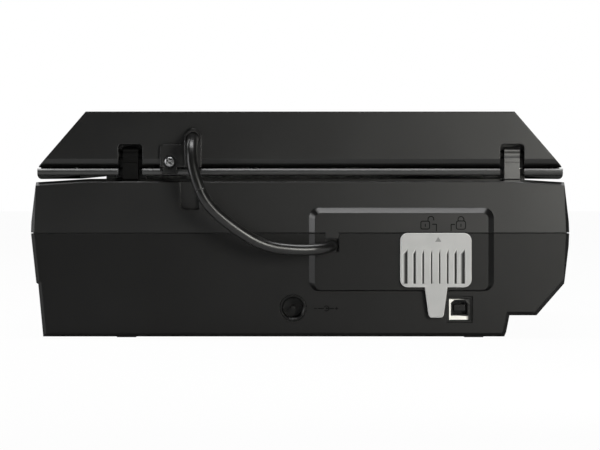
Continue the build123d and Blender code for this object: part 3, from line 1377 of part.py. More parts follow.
export_step(lid_frame.part, "parts/lid_frame.step")

with BuildPart() as lid_screws:
    for x, y in LID_BOSSES:
        head = (LID_SCREW_Z[0] - LID_SCREW_HEAD_THICK, LID_SCREW_Z[0])
        bar_z(x, y, head, LID_SCREW_HEAD_RADIUS)
        bar_z(x, y, (LID_SCREW_Z[0], LID_SCREW_Z[1] - 1), LID_SCREW_RADIUS)
lid_screws.part.label = "lid_screws"
export_step(lid_screws.part, "parts/lid_screws.step")

# Ears behind the slot walls, and the pins through posts and ears
with BuildPart() as hinge_ears:
    for x in POST_X:
        inner = SLOT_WIDTH / 2 + SLOT_WALL
        for side in (-1, 1):
            ends = sorted((x + side * inner, x + side * PIN_REACH))
            span_box(ends, (SLOT_FRONT_Y + 1, LID_REAR_Y - LID_WALL), (LID_SEAM_Z, SLOT_TOP_Z))
    add(lid_form(LID_WALL), mode=Mode.INTERSECT)
    for x in POST_X:
        bar_x(around(x, 2 * PIN_REACH + 2), PIVOT_Y, PIVOT_Z, PIN_RADIUS, mode=Mode.SUBTRACT)
hinge_ears.part.label = "hinge_ears"
export_step(hinge_ears.part, "parts/hinge_ears.step")

with BuildPart() as hinge_pins:
    for x in POST_X:
        bar_x(around(x, 2 * PIN_REACH), PIVOT_Y, PIVOT_Z, PIN_RADIUS)
hinge_pins.part.label = "hinge_pins"
export_step(hinge_pins.part, "parts/hinge_pins.step")

# Light panel over the mat's window
with BuildPart() as light_window:
    span_box(
        (-WINDOW_X + WINDOW_GAP, WINDOW_X - WINDOW_GAP),
        (WINDOW_Y[0] + WINDOW_GAP, WINDOW_Y[1] - WINDOW_GAP),
        (WINDOW_BASE_Z, FRAME_TOP_Z),
    )
light_window.part.label = "light_window"
export_step(light_window.part, "parts/light_window.step")

with BuildPart() as light_guide:
    span_box((-GUIDE_X, GUIDE_X), GUIDE_Y, (FRAME_TOP_Z, GUIDE_TOP_Z))
light_guide.part.label = "light_guide"
export_step(light_guide.part, "parts/light_guide.step")

with BuildPart() as light_reflector:
    span_box((-GUIDE_X, GUIDE_X), GUIDE_Y, (GUIDE_TOP_Z, REFLECTOR_TOP_Z))
light_reflector.part.label = "light_reflector"
export_step(light_reflector.part, "parts/light_reflector.step")

with BuildPart() as led_strips:
    span_box(LED_X, GUIDE_Y, (FRAME_TOP_Z, GUIDE_TOP_Z))
    mirror(about=Plane.YZ)
led_strips.part.label = "led_strips"
export_step(led_strips.part, "parts/led_strips.step")

with BuildPart() as lid_board:
    span_box(LID_BOARD_X, LID_BOARD_Y, LID_BOARD_Z)
    for (x, y), (size_x, size_y), height in LID_BOARD_PARTS:
        span_box(around(x, size_x), around(y, size_y), (LID_BOARD_Z[1], LID_BOARD_Z[1] + height))
lid_board.part.label = "lid_board"
export_step(lid_board.part, "parts/lid_board.step")

# Mat: a white sheet on a foam back, hung in the keyholes by four hooks
with BuildPart() as document_mat:
    span_box((-MAT_X, MAT_X), MAT_Y, (MAT_Z[0], MAT_Z[0] + MAT_SHEET_THICK))
document_mat.part.label = "document_mat"
export_step(document_mat.part, "parts/document_mat.step")

with BuildPart() as mat_back:
    span_box((-MAT_X, MAT_X), MAT_Y, (MAT_Z[0] + MAT_SHEET_THICK, MAT_Z[1]))
    for x, y in KEYHOLES:
        span_box(around(x, HOOK_STEM[0]), around(y, HOOK_STEM[1]), (MAT_Z[1], HOOK_HEAD_Z[0]))
        span_box(around(x, HOOK_HEAD[0]), around(y, HOOK_HEAD[1]), HOOK_HEAD_Z)
mat_back.part.label = "mat_back"
export_step(mat_back.part, "parts/mat_back.step")

# Cable cover on the lid's rear: a flat flange with the screw, and a taller dome for the cable
with BuildPart() as cable_cover:
    with BuildSketch(Plane.XZ.offset(-LID_REAR_Y)):
        with BuildLine():
            Polyline(
                (COVER_X[1], COVER_Z[0]),
                (COVER_TAB_X[1], COVER_Z[0]),
                (COVER_TAB_X[1], COVER_TAB_Z),
                (COVER_TAB_X[0], COVER_TAB_Z),
                (COVER_TAB_X[0], COVER_Z[0]),
                (COVER_X[0], COVER_Z[0]),
                (COVER_X[0], COVER_Z[1]),
                (COVER_X[1], COVER_Z[1]),
                close=True,
            )
        make_face()
    extrude(amount=-COVER_THICK)
    outer_corner = cable_cover.edges().filter_by(Axis.Y).sort_by(Axis.X)[-2:]
    fillet(outer_corner.sort_by(Axis.Z)[-1:], COVER_CORNER)
    with BuildSketch(Plane.XZ.offset(-LID_REAR_Y)) as dome:
        with BuildLine():
            Polyline(
                (DOME_X[0], COVER_Z[0]),
                (DOME_X[0], DOME_TOP_Z - DOME_SLOPE),
                (DOME_X[0] + DOME_SLOPE, DOME_TOP_Z),
                (DOME_X[1] - DOME_SLOPE, DOME_TOP_Z),
                (DOME_X[1], DOME_TOP_Z - DOME_SLOPE),
                (DOME_X[1], COVER_Z[0]),
                close=True,
            )
        make_face()
        fillet(dome.vertices().group_by(Axis.Y)[1], DOME_TIP_RADIUS)
    extrude(amount=-DOME_THICK)
    # Web between the flange and the dome
    with BuildSketch(Plane.XZ.offset(-LID_REAR_Y)):
        with BuildLine():
            Line((DOME_X[1], COVER_Z[1] - 1), (DOME_X[1] + COVER_GUSSET, COVER_Z[1] - 1))
            Line((DOME_X[1] + COVER_GUSSET, COVER_Z[1] - 1), (DOME_X[1] + COVER_GUSSET, COVER_Z[1]))
            RadiusArc(
                (DOME_X[1] + COVER_GUSSET, COVER_Z[1]),
                (DOME_X[1], COVER_Z[1] + COVER_GUSSET),
                COVER_GUSSET,
            )
            Line((DOME_X[1], COVER_Z[1] + COVER_GUSSET), (DOME_X[1], COVER_Z[1] - 1))
        make_face()
    extrude(amount=-COVER_THICK)
    bar_y(
        CABLE_UPPER[0][0],
        (LID_REAR_Y - 1, LID_REAR_Y + 2 * DOME_THICK),
        CABLE_UPPER[0][2],
        LID_GLAND_RADIUS,
        mode=Mode.SUBTRACT,
    )
    bar_y(
        COVER_SCREW[0],
        (LID_REAR_Y + COVER_THICK - COVER_SCREW_SEAT_DEPTH, LID_REAR_Y + 2 * COVER_THICK),
        COVER_SCREW[1],
        COVER_SCREW_SEAT,
        mode=Mode.SUBTRACT,
    )
    bar_y(
        COVER_SCREW[0],
        (LID_REAR_Y - 1, LID_REAR_Y + COVER_THICK),
        COVER_SCREW[1],
        COVER_SHANK_RADIUS + SCREW_SPARE,
        mode=Mode.SUBTRACT,
    )
cable_cover.part.label = "cable_cover"
export_step(cable_cover.part, "parts/cable_cover.step")

with BuildPart() as cover_screw:
    seat_y = LID_REAR_Y + COVER_THICK - COVER_SCREW_SEAT_DEPTH
    bar_y(COVER_SCREW[0], (COVER_SHANK_Y, seat_y), COVER_SCREW[1], COVER_SHANK_RADIUS)
    bar_y(COVER_SCREW[0], (seat_y, seat_y + COVER_SCREW_THICK), COVER_SCREW[1], COVER_SCREW_RADIUS)
    head_rim = cover_screw.faces().sort_by(Axis.Y)[-1].edges()
    fillet(head_rim, COVER_SCREW_THICK / 2)
    for size_x, size_z in ((CROSS_SLOT[0], CROSS_SLOT[1]), (CROSS_SLOT[1], CROSS_SLOT[0])):
        span_box(
            around(COVER_SCREW[0], size_x),
            (seat_y + COVER_SCREW_THICK - CROSS_SLOT[2], seat_y + 2 * COVER_SCREW_THICK),
            around(COVER_SCREW[1], size_z),
            mode=Mode.SUBTRACT,
        )
cover_screw.part.label = "cover_screw"
export_step(cover_screw.part, "parts/cover_screw.step")

with BuildPart() as lid_gland:
    bar_y(CABLE_UPPER[0][0], LID_GLAND_Y, CABLE_UPPER[0][2], LID_GLAND_RADIUS)
    bar_y(
        CABLE_UPPER[0][0],
        (LID_GLAND_Y[0] - 1, LID_GLAND_Y[1] + 1),
        CABLE_UPPER[0][2],
        CABLE_RADIUS,
        mode=Mode.SUBTRACT,
    )
lid_gland.part.label = "lid_gland"
export_step(lid_gland.part, "parts/lid_gland.step")

with BuildPart() as lid_bumpers:
    for x in BUMPER_REAR_X:
        span_box(x, BUMPER_REAR_Y, (BUMPER_REAR_Z, FRAME_BASE_Z))
    for x in BUMPER_FRONT_X:
        bar_z(x, BUMPER_FRONT_Y, (BUMPER_FRONT_Z, FRAME_BASE_Z), BUMPER_RADIUS)
    add(lid_frame.part, mode=Mode.SUBTRACT)
lid_bumpers.part.label = "lid_bumpers"
export_step(lid_bumpers.part, "parts/lid_bumpers.step")


def bend_radii(points):
    """The largest bend at each inner point: 0.45 of the shorter run over the half turn's tangent."""
    radii = []
    for before, here, after in zip(points, points[1:], points[2:]):
        a = Vector(*here) - Vector(*before)
        b = Vector(*after) - Vector(*here)
        half_turn = math.radians(a.get_angle(b)) / 2
        radii.append(0.45 * min(a.length, b.length) / math.tan(half_turn))
    return radii


for name, points in (("cover_cable_upper", CABLE_UPPER), ("cover_cable_lower", CABLE_LOWER)):
    radii = bend_radii(points)
    with BuildPart() as cable:
        with BuildLine() as route:
            FilletPolyline(*points, radius=radii)
        start = Plane(origin=points[0], z_dir=Vector(*points[1]) - Vector(*points[0]))
        with BuildSketch(start):
            Circle(CABLE_RADIUS)
        sweep()
    cable.part.label = name
    export_step(cable.part, f"parts/{name}.step")
    length = route.wire().length
    print(name, "radii", [round(r, 1) for r in radii], "length", round(length, 1))
    print(name, "volume", round(cable.part.volume), round(math.pi * CABLE_RADIUS**2 * length))

with BuildPart() as case_gland:
    span_box(CASE_GLAND_X, CASE_GLAND_Y, CASE_GLAND_Z)
case_gland.part.label = "case_gland"
export_step(case_gland.part, "parts/case_gland.step")
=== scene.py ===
# %% [markdown]
# # A photo scanner from behind
#
# The scanner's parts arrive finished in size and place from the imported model.
# This script gives them their looks: moulded black plastic, the grey transport lock,
# metal sockets, glass, the cable between lid and case, and a studio to see it in.
# Everything is in metres, Z is up, and the hinged rear with the sockets faces +Y.

# %% Load the frame
import json
import math

import bpy
import numpy as np
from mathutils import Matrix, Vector


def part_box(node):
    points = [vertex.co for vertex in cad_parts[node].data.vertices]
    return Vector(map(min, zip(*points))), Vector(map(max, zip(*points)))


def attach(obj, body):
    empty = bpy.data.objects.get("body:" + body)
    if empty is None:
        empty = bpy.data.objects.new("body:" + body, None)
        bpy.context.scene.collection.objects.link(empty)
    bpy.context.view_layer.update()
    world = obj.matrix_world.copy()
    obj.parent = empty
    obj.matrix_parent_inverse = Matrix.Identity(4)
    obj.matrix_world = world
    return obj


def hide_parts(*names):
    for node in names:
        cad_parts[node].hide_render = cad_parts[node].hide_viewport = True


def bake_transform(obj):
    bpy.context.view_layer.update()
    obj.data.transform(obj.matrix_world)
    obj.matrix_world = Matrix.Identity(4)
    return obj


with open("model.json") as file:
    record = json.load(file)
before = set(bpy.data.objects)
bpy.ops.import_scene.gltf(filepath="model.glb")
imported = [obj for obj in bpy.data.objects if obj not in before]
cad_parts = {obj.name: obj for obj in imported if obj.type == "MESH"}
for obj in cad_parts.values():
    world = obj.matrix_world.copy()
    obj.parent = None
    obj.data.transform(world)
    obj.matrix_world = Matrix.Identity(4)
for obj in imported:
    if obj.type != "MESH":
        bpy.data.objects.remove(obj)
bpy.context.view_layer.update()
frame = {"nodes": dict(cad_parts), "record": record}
nodes = frame["nodes"]
print("parts loaded:", len(nodes))

# %% [markdown]
# ## Shader maths as plain expressions
#
# A material is a web of small nodes, and wiring them one by one hides the idea.
# The class below wraps one output socket, so that `grain * 0.3 + 0.4` adds its Math nodes
# by itself. The reflected forms, such as `__rsub__`, let `1 - mask` work as well.


# %% One value with arithmetic
class Value:
    """One number that varies over a surface: an output socket with arithmetic."""

    def __init__(self, web, socket):
        self.web = web
        self.socket = socket

    def maths(self, operation, first, second):
        """A Math node on two values, each a number or a Value."""
        return self.web.node("ShaderNodeMath", {"operation": operation}, {0: first, 1: second})

    def __add__(self, other):
        return self.maths("ADD", self, other)

    def __radd__(self, other):
        return self.maths("ADD", other, self)

    def __sub__(self, other):
        return self.maths("SUBTRACT", self, other)

    def __rsub__(self, other):
        return self.maths("SUBTRACT", other, self)

    def __mul__(self, other):
        return self.maths("MULTIPLY", self, other)

    def __rmul__(self, other):
        return self.maths("MULTIPLY", other, self)


print("made Value, whose sums and products become Math nodes")

# %% [markdown]
# ## One material while it is built
#
# Every node that isn't plain arithmetic comes from one method, which takes the node's type,
# its settings, and the numbers or links of its inputs. The nodes that return again and
# again, such as noise and blend, get short names of their own. The edges of a CAD part are
# knife-sharp, so the relief also feeds a Bevel node: it leans the normal near an edge, and
# the edge catches light like a rounded one while the mesh stays as it is.


# %% Webs of nodes and finishes
BEVEL_SAMPLES = 4
LEAN_OF_FLAT, LEAN_OF_EDGE = 0.995, 0.75


class Web:
    """A tree of shader nodes, of a material or of the world."""

    def __init__(self, tree):
        self.tree = tree

    def node(self, kind, settings=None, inputs=None, output=0):
        """Any node: its settings first, then numbers or links for its inputs."""
        made = self.tree.nodes.new(kind)
        for key, value in (settings or {}).items():
            setattr(made, key, value)
        for key, value in (inputs or {}).items():
            if isinstance(value, Value):
                self.tree.links.new(value.socket, made.inputs[key])
            else:
                made.inputs[key].default_value = value
        return Value(self, made.outputs[output])

    def show(self, shader, output_name):
        """Let the tree's output node use this shader."""
        output = self.tree.nodes[output_name]
        self.tree.links.new(shader.socket, output.inputs["Surface"])


class Finish(Web):
    """One material while it is being built, around a Principled shader."""

    def __init__(self, name, **fixed):
        self.material = bpy.data.materials.new(name)
        self.material.use_nodes = True
        super().__init__(self.material.node_tree)
        self.shader = self.tree.nodes["Principled BSDF"]
        for socket, value in fixed.items():
            self.shader.inputs[socket.replace("_", " ")].default_value = value

    def place(self):
        """Where a point is on the object, in metres."""
        return self.node("ShaderNodeTexCoord", output="Object")

    def axis(self, vector, letter):
        """One number of a vector: its X, Y or Z."""
        return self.node("ShaderNodeSeparateXYZ", None, {"Vector": vector}, output=letter)

    def facing(self):
        """The direction that the surface faces."""
        return self.node("ShaderNodeNewGeometry", output="Normal")

    def rounded(self, radius):
        """The direction that the surface would face if its edges had this radius."""
        return self.node("ShaderNodeBevel", {"samples": BEVEL_SAMPLES}, {"Radius": radius})

    def noise(self, size, detail=2.0, where=None):
        """Soft random value from 0 to 1 whose blobs are about size metres across."""
        inputs = {"Vector": where or self.place(), "Scale": 1.0 / size, "Detail": detail}
        return self.node("ShaderNodeTexNoise", None, inputs)

    def ramp(self, value, low, high):
        """Value stretched so that low becomes 0 and high becomes 1, held between them."""
        inputs = {"Value": value, "From Min": low, "From Max": high}
        return self.node("ShaderNodeMapRange", {"clamp": True}, inputs)

    def spread(self, cloud):
        """A noise stretched to the whole way from 0 to 1, as it mostly stays near the middle."""
        return self.ramp(cloud, 0.3, 0.7)

    def blend(self, share, first, second):
        """A colour between two colours."""
        inputs = {0: share, 6: first, 7: second}
        return self.node("ShaderNodeMix", {"data_type": "RGBA"}, inputs, output=2)

    def feed(self, **inputs):
        """Link values to the shader's own sockets."""
        for socket, value in inputs.items():
            self.tree.links.new(value.socket, self.shader.inputs[socket.replace("_", " ")])
        return self

    def relief(self, height, depth, edge=0.0):
        """Bumps of the given depth, on a surface whose sharp edges look rounded by edge metres."""
        inputs = {"Height": height, "Distance": depth, "Strength": 1.0}
        if edge > 0:
            inputs["Normal"] = self.rounded(edge)
        return self.feed(Normal=self.node("ShaderNodeBump", None, inputs))

    def edges(self, radius):
        """1 along sharp edges and 0 on flat faces: how far the rounded normal leans from the flat one."""
        inputs = {0: self.rounded(radius), 1: self.facing()}
        settings = {"operation": "DOT_PRODUCT"}
        lean = self.node("ShaderNodeVectorMath", settings, inputs, output="Value")
        return self.ramp(lean, LEAN_OF_FLAT, LEAN_OF_EDGE)


def grey(level, tint=0.0):
    """A grey of the given level, slightly cooler for a positive tint."""
    return (level * (1 - tint), level, level * (1 + tint), 1.0)


def dimmed(colour, share):
    """The same colour with red, green and blue times share."""
    return tuple(channel * share for channel in colour[:3]) + (1.0,)


print("made Finish, with edges rounded by", BEVEL_SAMPLES, "samples")

# %% [markdown]
# ## Moulded black plastic
#
# The case and lid are injection-moulded plastic with a fine spark-eroded texture.
# A flat black would look like a hole in the picture. Real black plastic shows three
# things: a grain of about a third of a millimetre that breaks up highlights, broad faint
# changes of sheen where hands and cloths have been, and edges rubbed a little brighter.
# The inner frame of the lid comes from a smoother mould and is painted lighter, as painted
# light on its band in the shade under the lid; the lower case comes from a duller one. One
# function makes them all, so that they stay a family.


# %% Black plastics
HANDLED_PATCH = 0.045
DARK_PATCH, LIGHT_PATCH = 0.88, 1.12
RUBBED_PATCH = 0.009
RUBBED_TONE, RUBBED_SHARE = 2.4, 0.3


def moulded(name, level, gloss, grain, depth, edge, wear=1.0, shine=0.5):
    """Textured plastic: grain size and depth in metres, worn a little along its edges."""
    made = Finish(name, Roughness=gloss, Specular_IOR_Level=shine)
    fine = made.noise(grain, 3.0)
    broad = made.noise(HANDLED_PATCH, 2.0)
    worn = made.edges(edge) * made.ramp(made.noise(RUBBED_PATCH, 4.0), 0.35, 0.75) * wear
    low, high = grey(level * DARK_PATCH, 0.01), grey(level * LIGHT_PATCH, 0.02)
    tone = made.blend(made.spread(broad), low, high)
    lighter_edge = grey(level * RUBBED_TONE, 0.01)
    made.feed(
        Base_Color=made.blend(worn * RUBBED_SHARE, tone, lighter_edge),
        Roughness=gloss + (broad - 0.5) * 0.06 + (fine - 0.5) * 0.08 - worn * 0.06,
    )
    return made.relief(fine, depth, edge).material


case_black = moulded(
    "upper case black plastic", 0.004, 0.32, grain=0.00032, depth=0.000013, edge=0.0006
)
lower_black = moulded(
    "lower case black plastic", 0.0045, 0.37, grain=0.00036, depth=0.000016, edge=0.0006, shine=0.25
)
lid_black = moulded(
    "lid black plastic", 0.0042, 0.32, grain=0.00030, depth=0.000012, edge=0.0007
)
# The lid frame's black is several times lighter than the other blacks: painted light for its band in the
# lid's shade.
frame_lit_black = moulded(
    "lid frame black plastic", 0.03, 0.24, grain=0.00030, depth=0.000006, edge=0.0005
)
inner_black = moulded(
    "inner black plastic", 0.016, 0.55, grain=0.0005, depth=0.00003, edge=0.0004, wear=0.3, shine=0.45
)
blacks = (case_black, lower_black, lid_black, frame_lit_black, inner_black)
print("moulded plastics:", [finish.name for finish in blacks])

# %% [markdown]
# ## The transport lock's grey plastic
#
# The slider is pale grey and smooth. Its colour holds painted shade at the bottom of each
# finger groove, except on faces turned towards the left strip, and a painted highlight on
# its rim. A painted picture of them would have to be lined up with the shape. Here both
# follow from the shape: the depth below the front face gives the painted shade, and where
# a face near the front leans up or sideways, the painted highlight.


# %% Lock plastic
LOCK_LEVEL = 0.42
LOCK_GLOSS = 0.42
LOCK_FACE_Y = 0.2425
# Depths behind the front face where the painted shade starts and is full, and where the painted highlight
# is full and ends.
SHADE_STARTS, SHADE_FULL = 0.00012, 0.0007
HIGHLIGHT_FULL, HIGHLIGHT_ENDS = 0.0003, 0.0007
GROOVE_FLOOR, BEHIND_GROOVES = 0.0015, 0.0017
LOCK_GRAIN, LOCK_GRAIN_DEPTH, LOCK_EDGE = 0.00026, 0.000015, 0.0002
# The tone of the painted shade in the finger grooves.
GROOVE_SHADE_TONE = grey(0.01)


def lock_plastic(level, face_y):
    """Grey plastic, with painted shade in the grooves behind face_y and a painted highlight near it."""
    made = Finish("transport lock grey", Roughness=LOCK_GLOSS)
    depth = face_y - made.axis(made.place(), "Y")
    facing = made.facing()
    fine = made.noise(LOCK_GRAIN, 3.0)
    broad = made.noise(0.012, 3.0)
    inside = made.ramp(depth, BEHIND_GROOVES, GROOVE_FLOOR)
    shaded_side = made.ramp(made.axis(facing, "X"), 0.3, 0.0)
    # Painted shade: darker with depth into a groove, except on faces turned towards the left strip.
    groove_shade = made.ramp(depth, SHADE_STARTS, SHADE_FULL) * shaded_side
    leaning = made.ramp(made.axis(facing, "Y"), 0.97, 0.6)
    # Painted highlight: lighter where a face near the front leans up or sideways, as edges that catch the
    # lamps.
    lighter_edge = leaning * made.ramp(depth, HIGHLIGHT_ENDS, HIGHLIGHT_FULL) * inside
    low, high = grey(level * 0.94, 0.008), grey(level * 1.04, 0.004)
    plain = made.blend(made.spread(broad), low, high)
    with_rim_highlight = made.blend(lighter_edge, plain, grey(min(level * 1.9, 0.9)))
    made.feed(
        Base_Color=made.blend(groove_shade * inside, with_rim_highlight, GROOVE_SHADE_TONE),
        Roughness=LOCK_GLOSS + (fine - 0.5) * 0.1 + (broad - 0.5) * 0.06,
    )
    return made.relief(fine, LOCK_GRAIN_DEPTH, LOCK_EDGE).material


lock_grey = lock_plastic(LOCK_LEVEL, LOCK_FACE_Y)
print("lock plastic:", lock_grey.name)

# %% [markdown]
# ## Smooth plastics and rubber
#
# Small parts have smoother skins. Each keeps a little unevenness in its sheen,
# because no moulded surface is a perfect mirror or a perfect matt. The ripple is fine and
# the cloud is twelve times as broad. The hinge parts come in two copies of one black: those
# at +X are darker, as painted shade in their socket, and the others are lighter and glossier,
# as a painted sheen where the lamp on the right reaches them.


# %% Smooth finishes
SMALL_EDGE = 0.0003
CLOUD_TO_RIPPLE = 12


def smooth(name, colour, gloss, ripple=0.002, depth=0.00001, coat=0.0, **fixed):
    """An even skin whose sheen varies over ripple metres."""
    made = Finish(name, Base_Color=colour, Roughness=gloss, Coat_Weight=coat, **fixed)
    sway = made.noise(ripple, 3.0)
    cloud = made.noise(ripple * CLOUD_TO_RIPPLE, 2.0)
    made.feed(
        Base_Color=made.blend(made.spread(cloud), dimmed(colour, 0.9), colour),
        Roughness=gloss + (sway - 0.5) * 0.12 + (cloud - 0.5) * 0.08,
    )
    return made.relief(sway, depth, SMALL_EDGE).material


gloss_black = smooth("gloss black bezel", grey(0.012), 0.12, 0.004, 0.000004, coat=0.6)
button_skin = smooth("button silver grey", grey(0.42, 0.01), 0.34)
rubber = smooth("rubber", grey(0.02), 0.72, 0.0008, 0.00004)
white_skin = smooth("white plastic", grey(0.78), 0.5, 0.0009, 0.00002)
foam = smooth("white foam back", grey(0.7), 0.85, 0.0007, 0.0002)
diffuser = smooth("milky diffuser", grey(0.82), 0.3, 0.004, 0.000004, coat=0.3)
acetal = smooth("acetal gear", (0.72, 0.69, 0.6, 1.0), 0.4)
lens_green = smooth("status lens", (0.08, 0.5, 0.12, 1.0), 0.15, coat=0.5)
socket_black = smooth("socket black", grey(0.003), 0.3, 0.0015, 0.000006, Specular_IOR_Level=0.3)
# Two copies of one black for the hinge parts: darker as painted shade, and lighter and glossier as a
# painted sheen.
post_in_painted_shade = smooth("hinge post black", grey(0.0015), 0.6, 0.001, Specular_IOR_Level=0.12)
post_with_painted_sheen = smooth("hinge post with painted sheen", grey(0.02), 0.34, 0.004, Specular_IOR_Level=1.0)
print("smooth finishes:", gloss_black.name, "to", post_with_painted_sheen.name)

# %% [markdown]
# ## Metals
#
# Drawn and plated steel shows fine lines along the direction it was worked in.
# A noise that is stretched far along one axis gives those lines, and a Mapping node with
# a small scale on that axis does the stretching. The noise drives both the sheen and a
# very shallow bump, so that a lamp's glint breaks up across the lines and not along them.


# %% Drawn metals
SCRATCH_DEPTH = 0.000006
METAL_EDGE = 0.0002


def drawn_metal(name, colour, gloss, stretch=(1.0, 0.02, 1.0), lines=0.0003):
    """Metal with fine lines along the axis that stretch makes small."""
    made = Finish(name, Base_Color=colour, Metallic=1.0, Roughness=gloss)
    along = made.node("ShaderNodeMapping", None, {"Vector": made.place(), "Scale": stretch})
    scratch = made.noise(lines, 3.0, along)
    cloud = made.noise(0.008, 2.0)
    made.feed(
        Base_Color=made.blend(made.ramp(cloud, 0.35, 0.7), dimmed(colour, 0.82), colour),
        Roughness=gloss + (scratch - 0.5) * 0.22 + (cloud - 0.5) * 0.1,
    )
    return made.relief(scratch, SCRATCH_DEPTH, METAL_EDGE).material


bright_steel = drawn_metal("plated steel", grey(0.62, 0.01), 0.28)
ground_rod = drawn_metal("ground rod", grey(0.75), 0.12, (1.0, 0.5, 1.0))
bronze = drawn_metal("sintered bronze", (0.55, 0.38, 0.18, 1.0), 0.42)
screw_steel = drawn_metal("screw steel", grey(0.4, 0.01), 0.3, (0.3, 1.0, 0.3))
mirror_coat = drawn_metal("mirror coat", grey(0.88), 0.03, (1.0, 1.0, 1.0), 0.01)
print("drawn metals:", bright_steel.name, ground_rod.name, bronze.name, screw_steel.name)

# %% [markdown]
# ## The data socket's tin shell
#
# The square shell of the data socket is folded tin plate. Seen from behind, only its
# left-hand wall and its lower lip shine, and the rest lies in the shade of its pocket. A lamp
# could hardly pick out such a small stretch, so the light is painted into the metal's colour:
# a point's place on the shell decides between painted highlight and painted shade, and a
# noise frays the border between them.


# %% Tin shell
SHELL_SHADED_X, SHELL_LIT_X = -0.0860, -0.0775
SHELL_LIP_Z = 0.0118
LIP_FADE_UP, LIP_FADE_SIDE = 0.0004, 0.0016
# Tones of the painted shade and the painted highlight on the tin.
SHADED_TIN = grey(0.03)
LIT_TIN = (0.82, 0.81, 0.77, 1.0)


def shell_with_painted_light(shaded_x, lit_x, lip_z):
    """Tin plate with painted light: painted shade at shaded_x, a painted highlight from lit_x on and on
    the lip below lip_z.
    """
    made = Finish("socket shell", Metallic=1.0, Roughness=0.3)
    place = made.place()
    x, z = made.axis(place, "X"), made.axis(place, "Z")
    # Painted highlight on the lower lip and from the left-hand wall on, painted shade elsewhere, with a
    # frayed border.
    fray = (made.noise(0.0012, 3.0) - 0.5) * 0.3
    low_enough = made.ramp(z, lip_z, lip_z - LIP_FADE_UP)
    lip = low_enough * made.ramp(x, shaded_x - LIP_FADE_SIDE, shaded_x)
    lit_side = made.ramp(x, shaded_x, lit_x)
    share = made.ramp(lip + lit_side + fray, 0.0, 1.0)
    made.feed(
        Base_Color=made.blend(share, SHADED_TIN, LIT_TIN),
        Roughness=0.42 - share * 0.1,
    )
    return made.relief(made.noise(0.0003, 3.0), SCRATCH_DEPTH, METAL_EDGE).material


shell_steel = shell_with_painted_light(SHELL_SHADED_X, SHELL_LIT_X, SHELL_LIP_Z)
print("tin shell:", shell_steel.name)

# %% [markdown]
# ## Glass and circuit boards
#
# The document glass is clear with a faint green depth and a few wipe marks in its sheen.
# Light goes through it for real, with the refractive index of window glass.
# The boards are green with copper under the mask. The copper is the outside of the square
# cells of a Voronoi pattern, and it shows only when the lid is up or the case is open.


# %% Glass and boards
GLASS_INDEX = 1.5
TRACKS_PER_METRE = 260.0


def clear_glass():
    """Float glass: see-through, with wipe marks that only change the sheen."""
    tint = (0.93, 0.98, 0.96, 1.0)
    made = Finish("document glass", Base_Color=tint, IOR=GLASS_INDEX, Transmission_Weight=1.0)
    wipe = made.noise(0.03, 4.0)
    made.feed(Roughness=0.01 + made.ramp(wipe, 0.55, 0.85) * 0.05)
    return made.material


def board_green():
    """Solder mask over tracks: light green where the nearest cell's middle is far enough."""
    made = Finish("board green", Roughness=0.35, Coat_Weight=0.3)
    square_cells = {"distance": "CHEBYCHEV", "feature": "F1"}
    inputs = {"Vector": made.place(), "Scale": TRACKS_PER_METRE}
    away = made.node("ShaderNodeTexVoronoi", square_cells, inputs)
    track = made.ramp(away, 0.28, 0.34)
    bare, copper = (0.012, 0.10, 0.04, 1.0), (0.03, 0.19, 0.08, 1.0)
    made.feed(Base_Color=made.blend(track, bare, copper))
    return made.relief(track, 0.00003).material


glass_sheet = clear_glass()
board_mask = board_green()
print("glass and boards:", glass_sheet.name, board_mask.name)

# %% [markdown]
# ## Each part gets its finish
#
# The record names a material slot for every part. One table turns slots into finishes,
# so a part that shares a slot shares the finish too. A second table holds the few parts
# that look different from the rest of their slot.

# %% Dress the parts
FINISH_OF_SLOT = {
    "case_plastic": case_black,
    "lid_plastic": lid_black,
    "lock_grey": lock_grey,
    "glass_clear": glass_sheet,
    "foot_rubber": rubber,
    "cable_rubber": rubber,
    "steel_bright": bright_steel,
    "steel_rod": ground_rod,
    "board_green": board_mask,
    "white_plastic": white_skin,
    "foam_white": foam,
    "gloss_black": gloss_black,
    "button_silver": button_skin,
    "lens_green": lens_green,
    "diffuser": diffuser,
    "gear_plastic": acetal,
    "inner_plastic": inner_black,
    "mirror_face": mirror_coat,
    "bush_brass": bronze,
    "belt_rubber": rubber,
    "white_led": diffuser,
}
FINISH_OF_PART = {
    "cover_screw": screw_steel,
    "lower_case": lower_black,
    "lid_frame": frame_lit_black,
    "usb_shell": shell_steel,
    "usb_tongue": socket_black,
    "dc_socket": socket_black,
}
HINGE_PARTS = ("hinge_post_left", "hinge_post_right", "hinge_ears", "hinge_pins")
slot_of_node = {part["node"]: part["material_slot"] for part in frame["record"]["subparts"]}
for name, part in nodes.items():
    finish = FINISH_OF_PART.get(name, FINISH_OF_SLOT[slot_of_node[name]])
    # Hinge parts at +X get the copy with painted shade, the others the copy with painted sheen.
    if name in HINGE_PARTS:
        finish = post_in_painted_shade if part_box(name)[1].x > 0 else post_with_painted_sheen
    part.data.materials.clear()
    part.data.materials.append(finish)
print("dressed", len(nodes), "parts in", len(FINISH_OF_SLOT), "slots")

# %% [markdown]
# ## Surfaces from grids of points
#
# The pieces that this script adds are grids: rows of points worked out as whole arrays,
# with one quad between every four neighbours. A grid whose last column joins its first is
# a tube, and where its first and last rows shrink to a point each, its ends are closed.


# %% Meshes from grids
def add_mesh(name, verts, faces, material):
    """A smooth-shaded object at the origin from arrays of points and quads."""
    mesh = bpy.data.meshes.new(name)
    mesh.from_pydata(verts.tolist(), [], faces.tolist())
    mesh.update()
    mesh.polygons.foreach_set("use_smooth", np.ones(len(mesh.polygons), bool))
    mesh.materials.append(material)
    made = bpy.data.objects.new(name, mesh)
    bpy.context.scene.collection.objects.link(made)
    return made


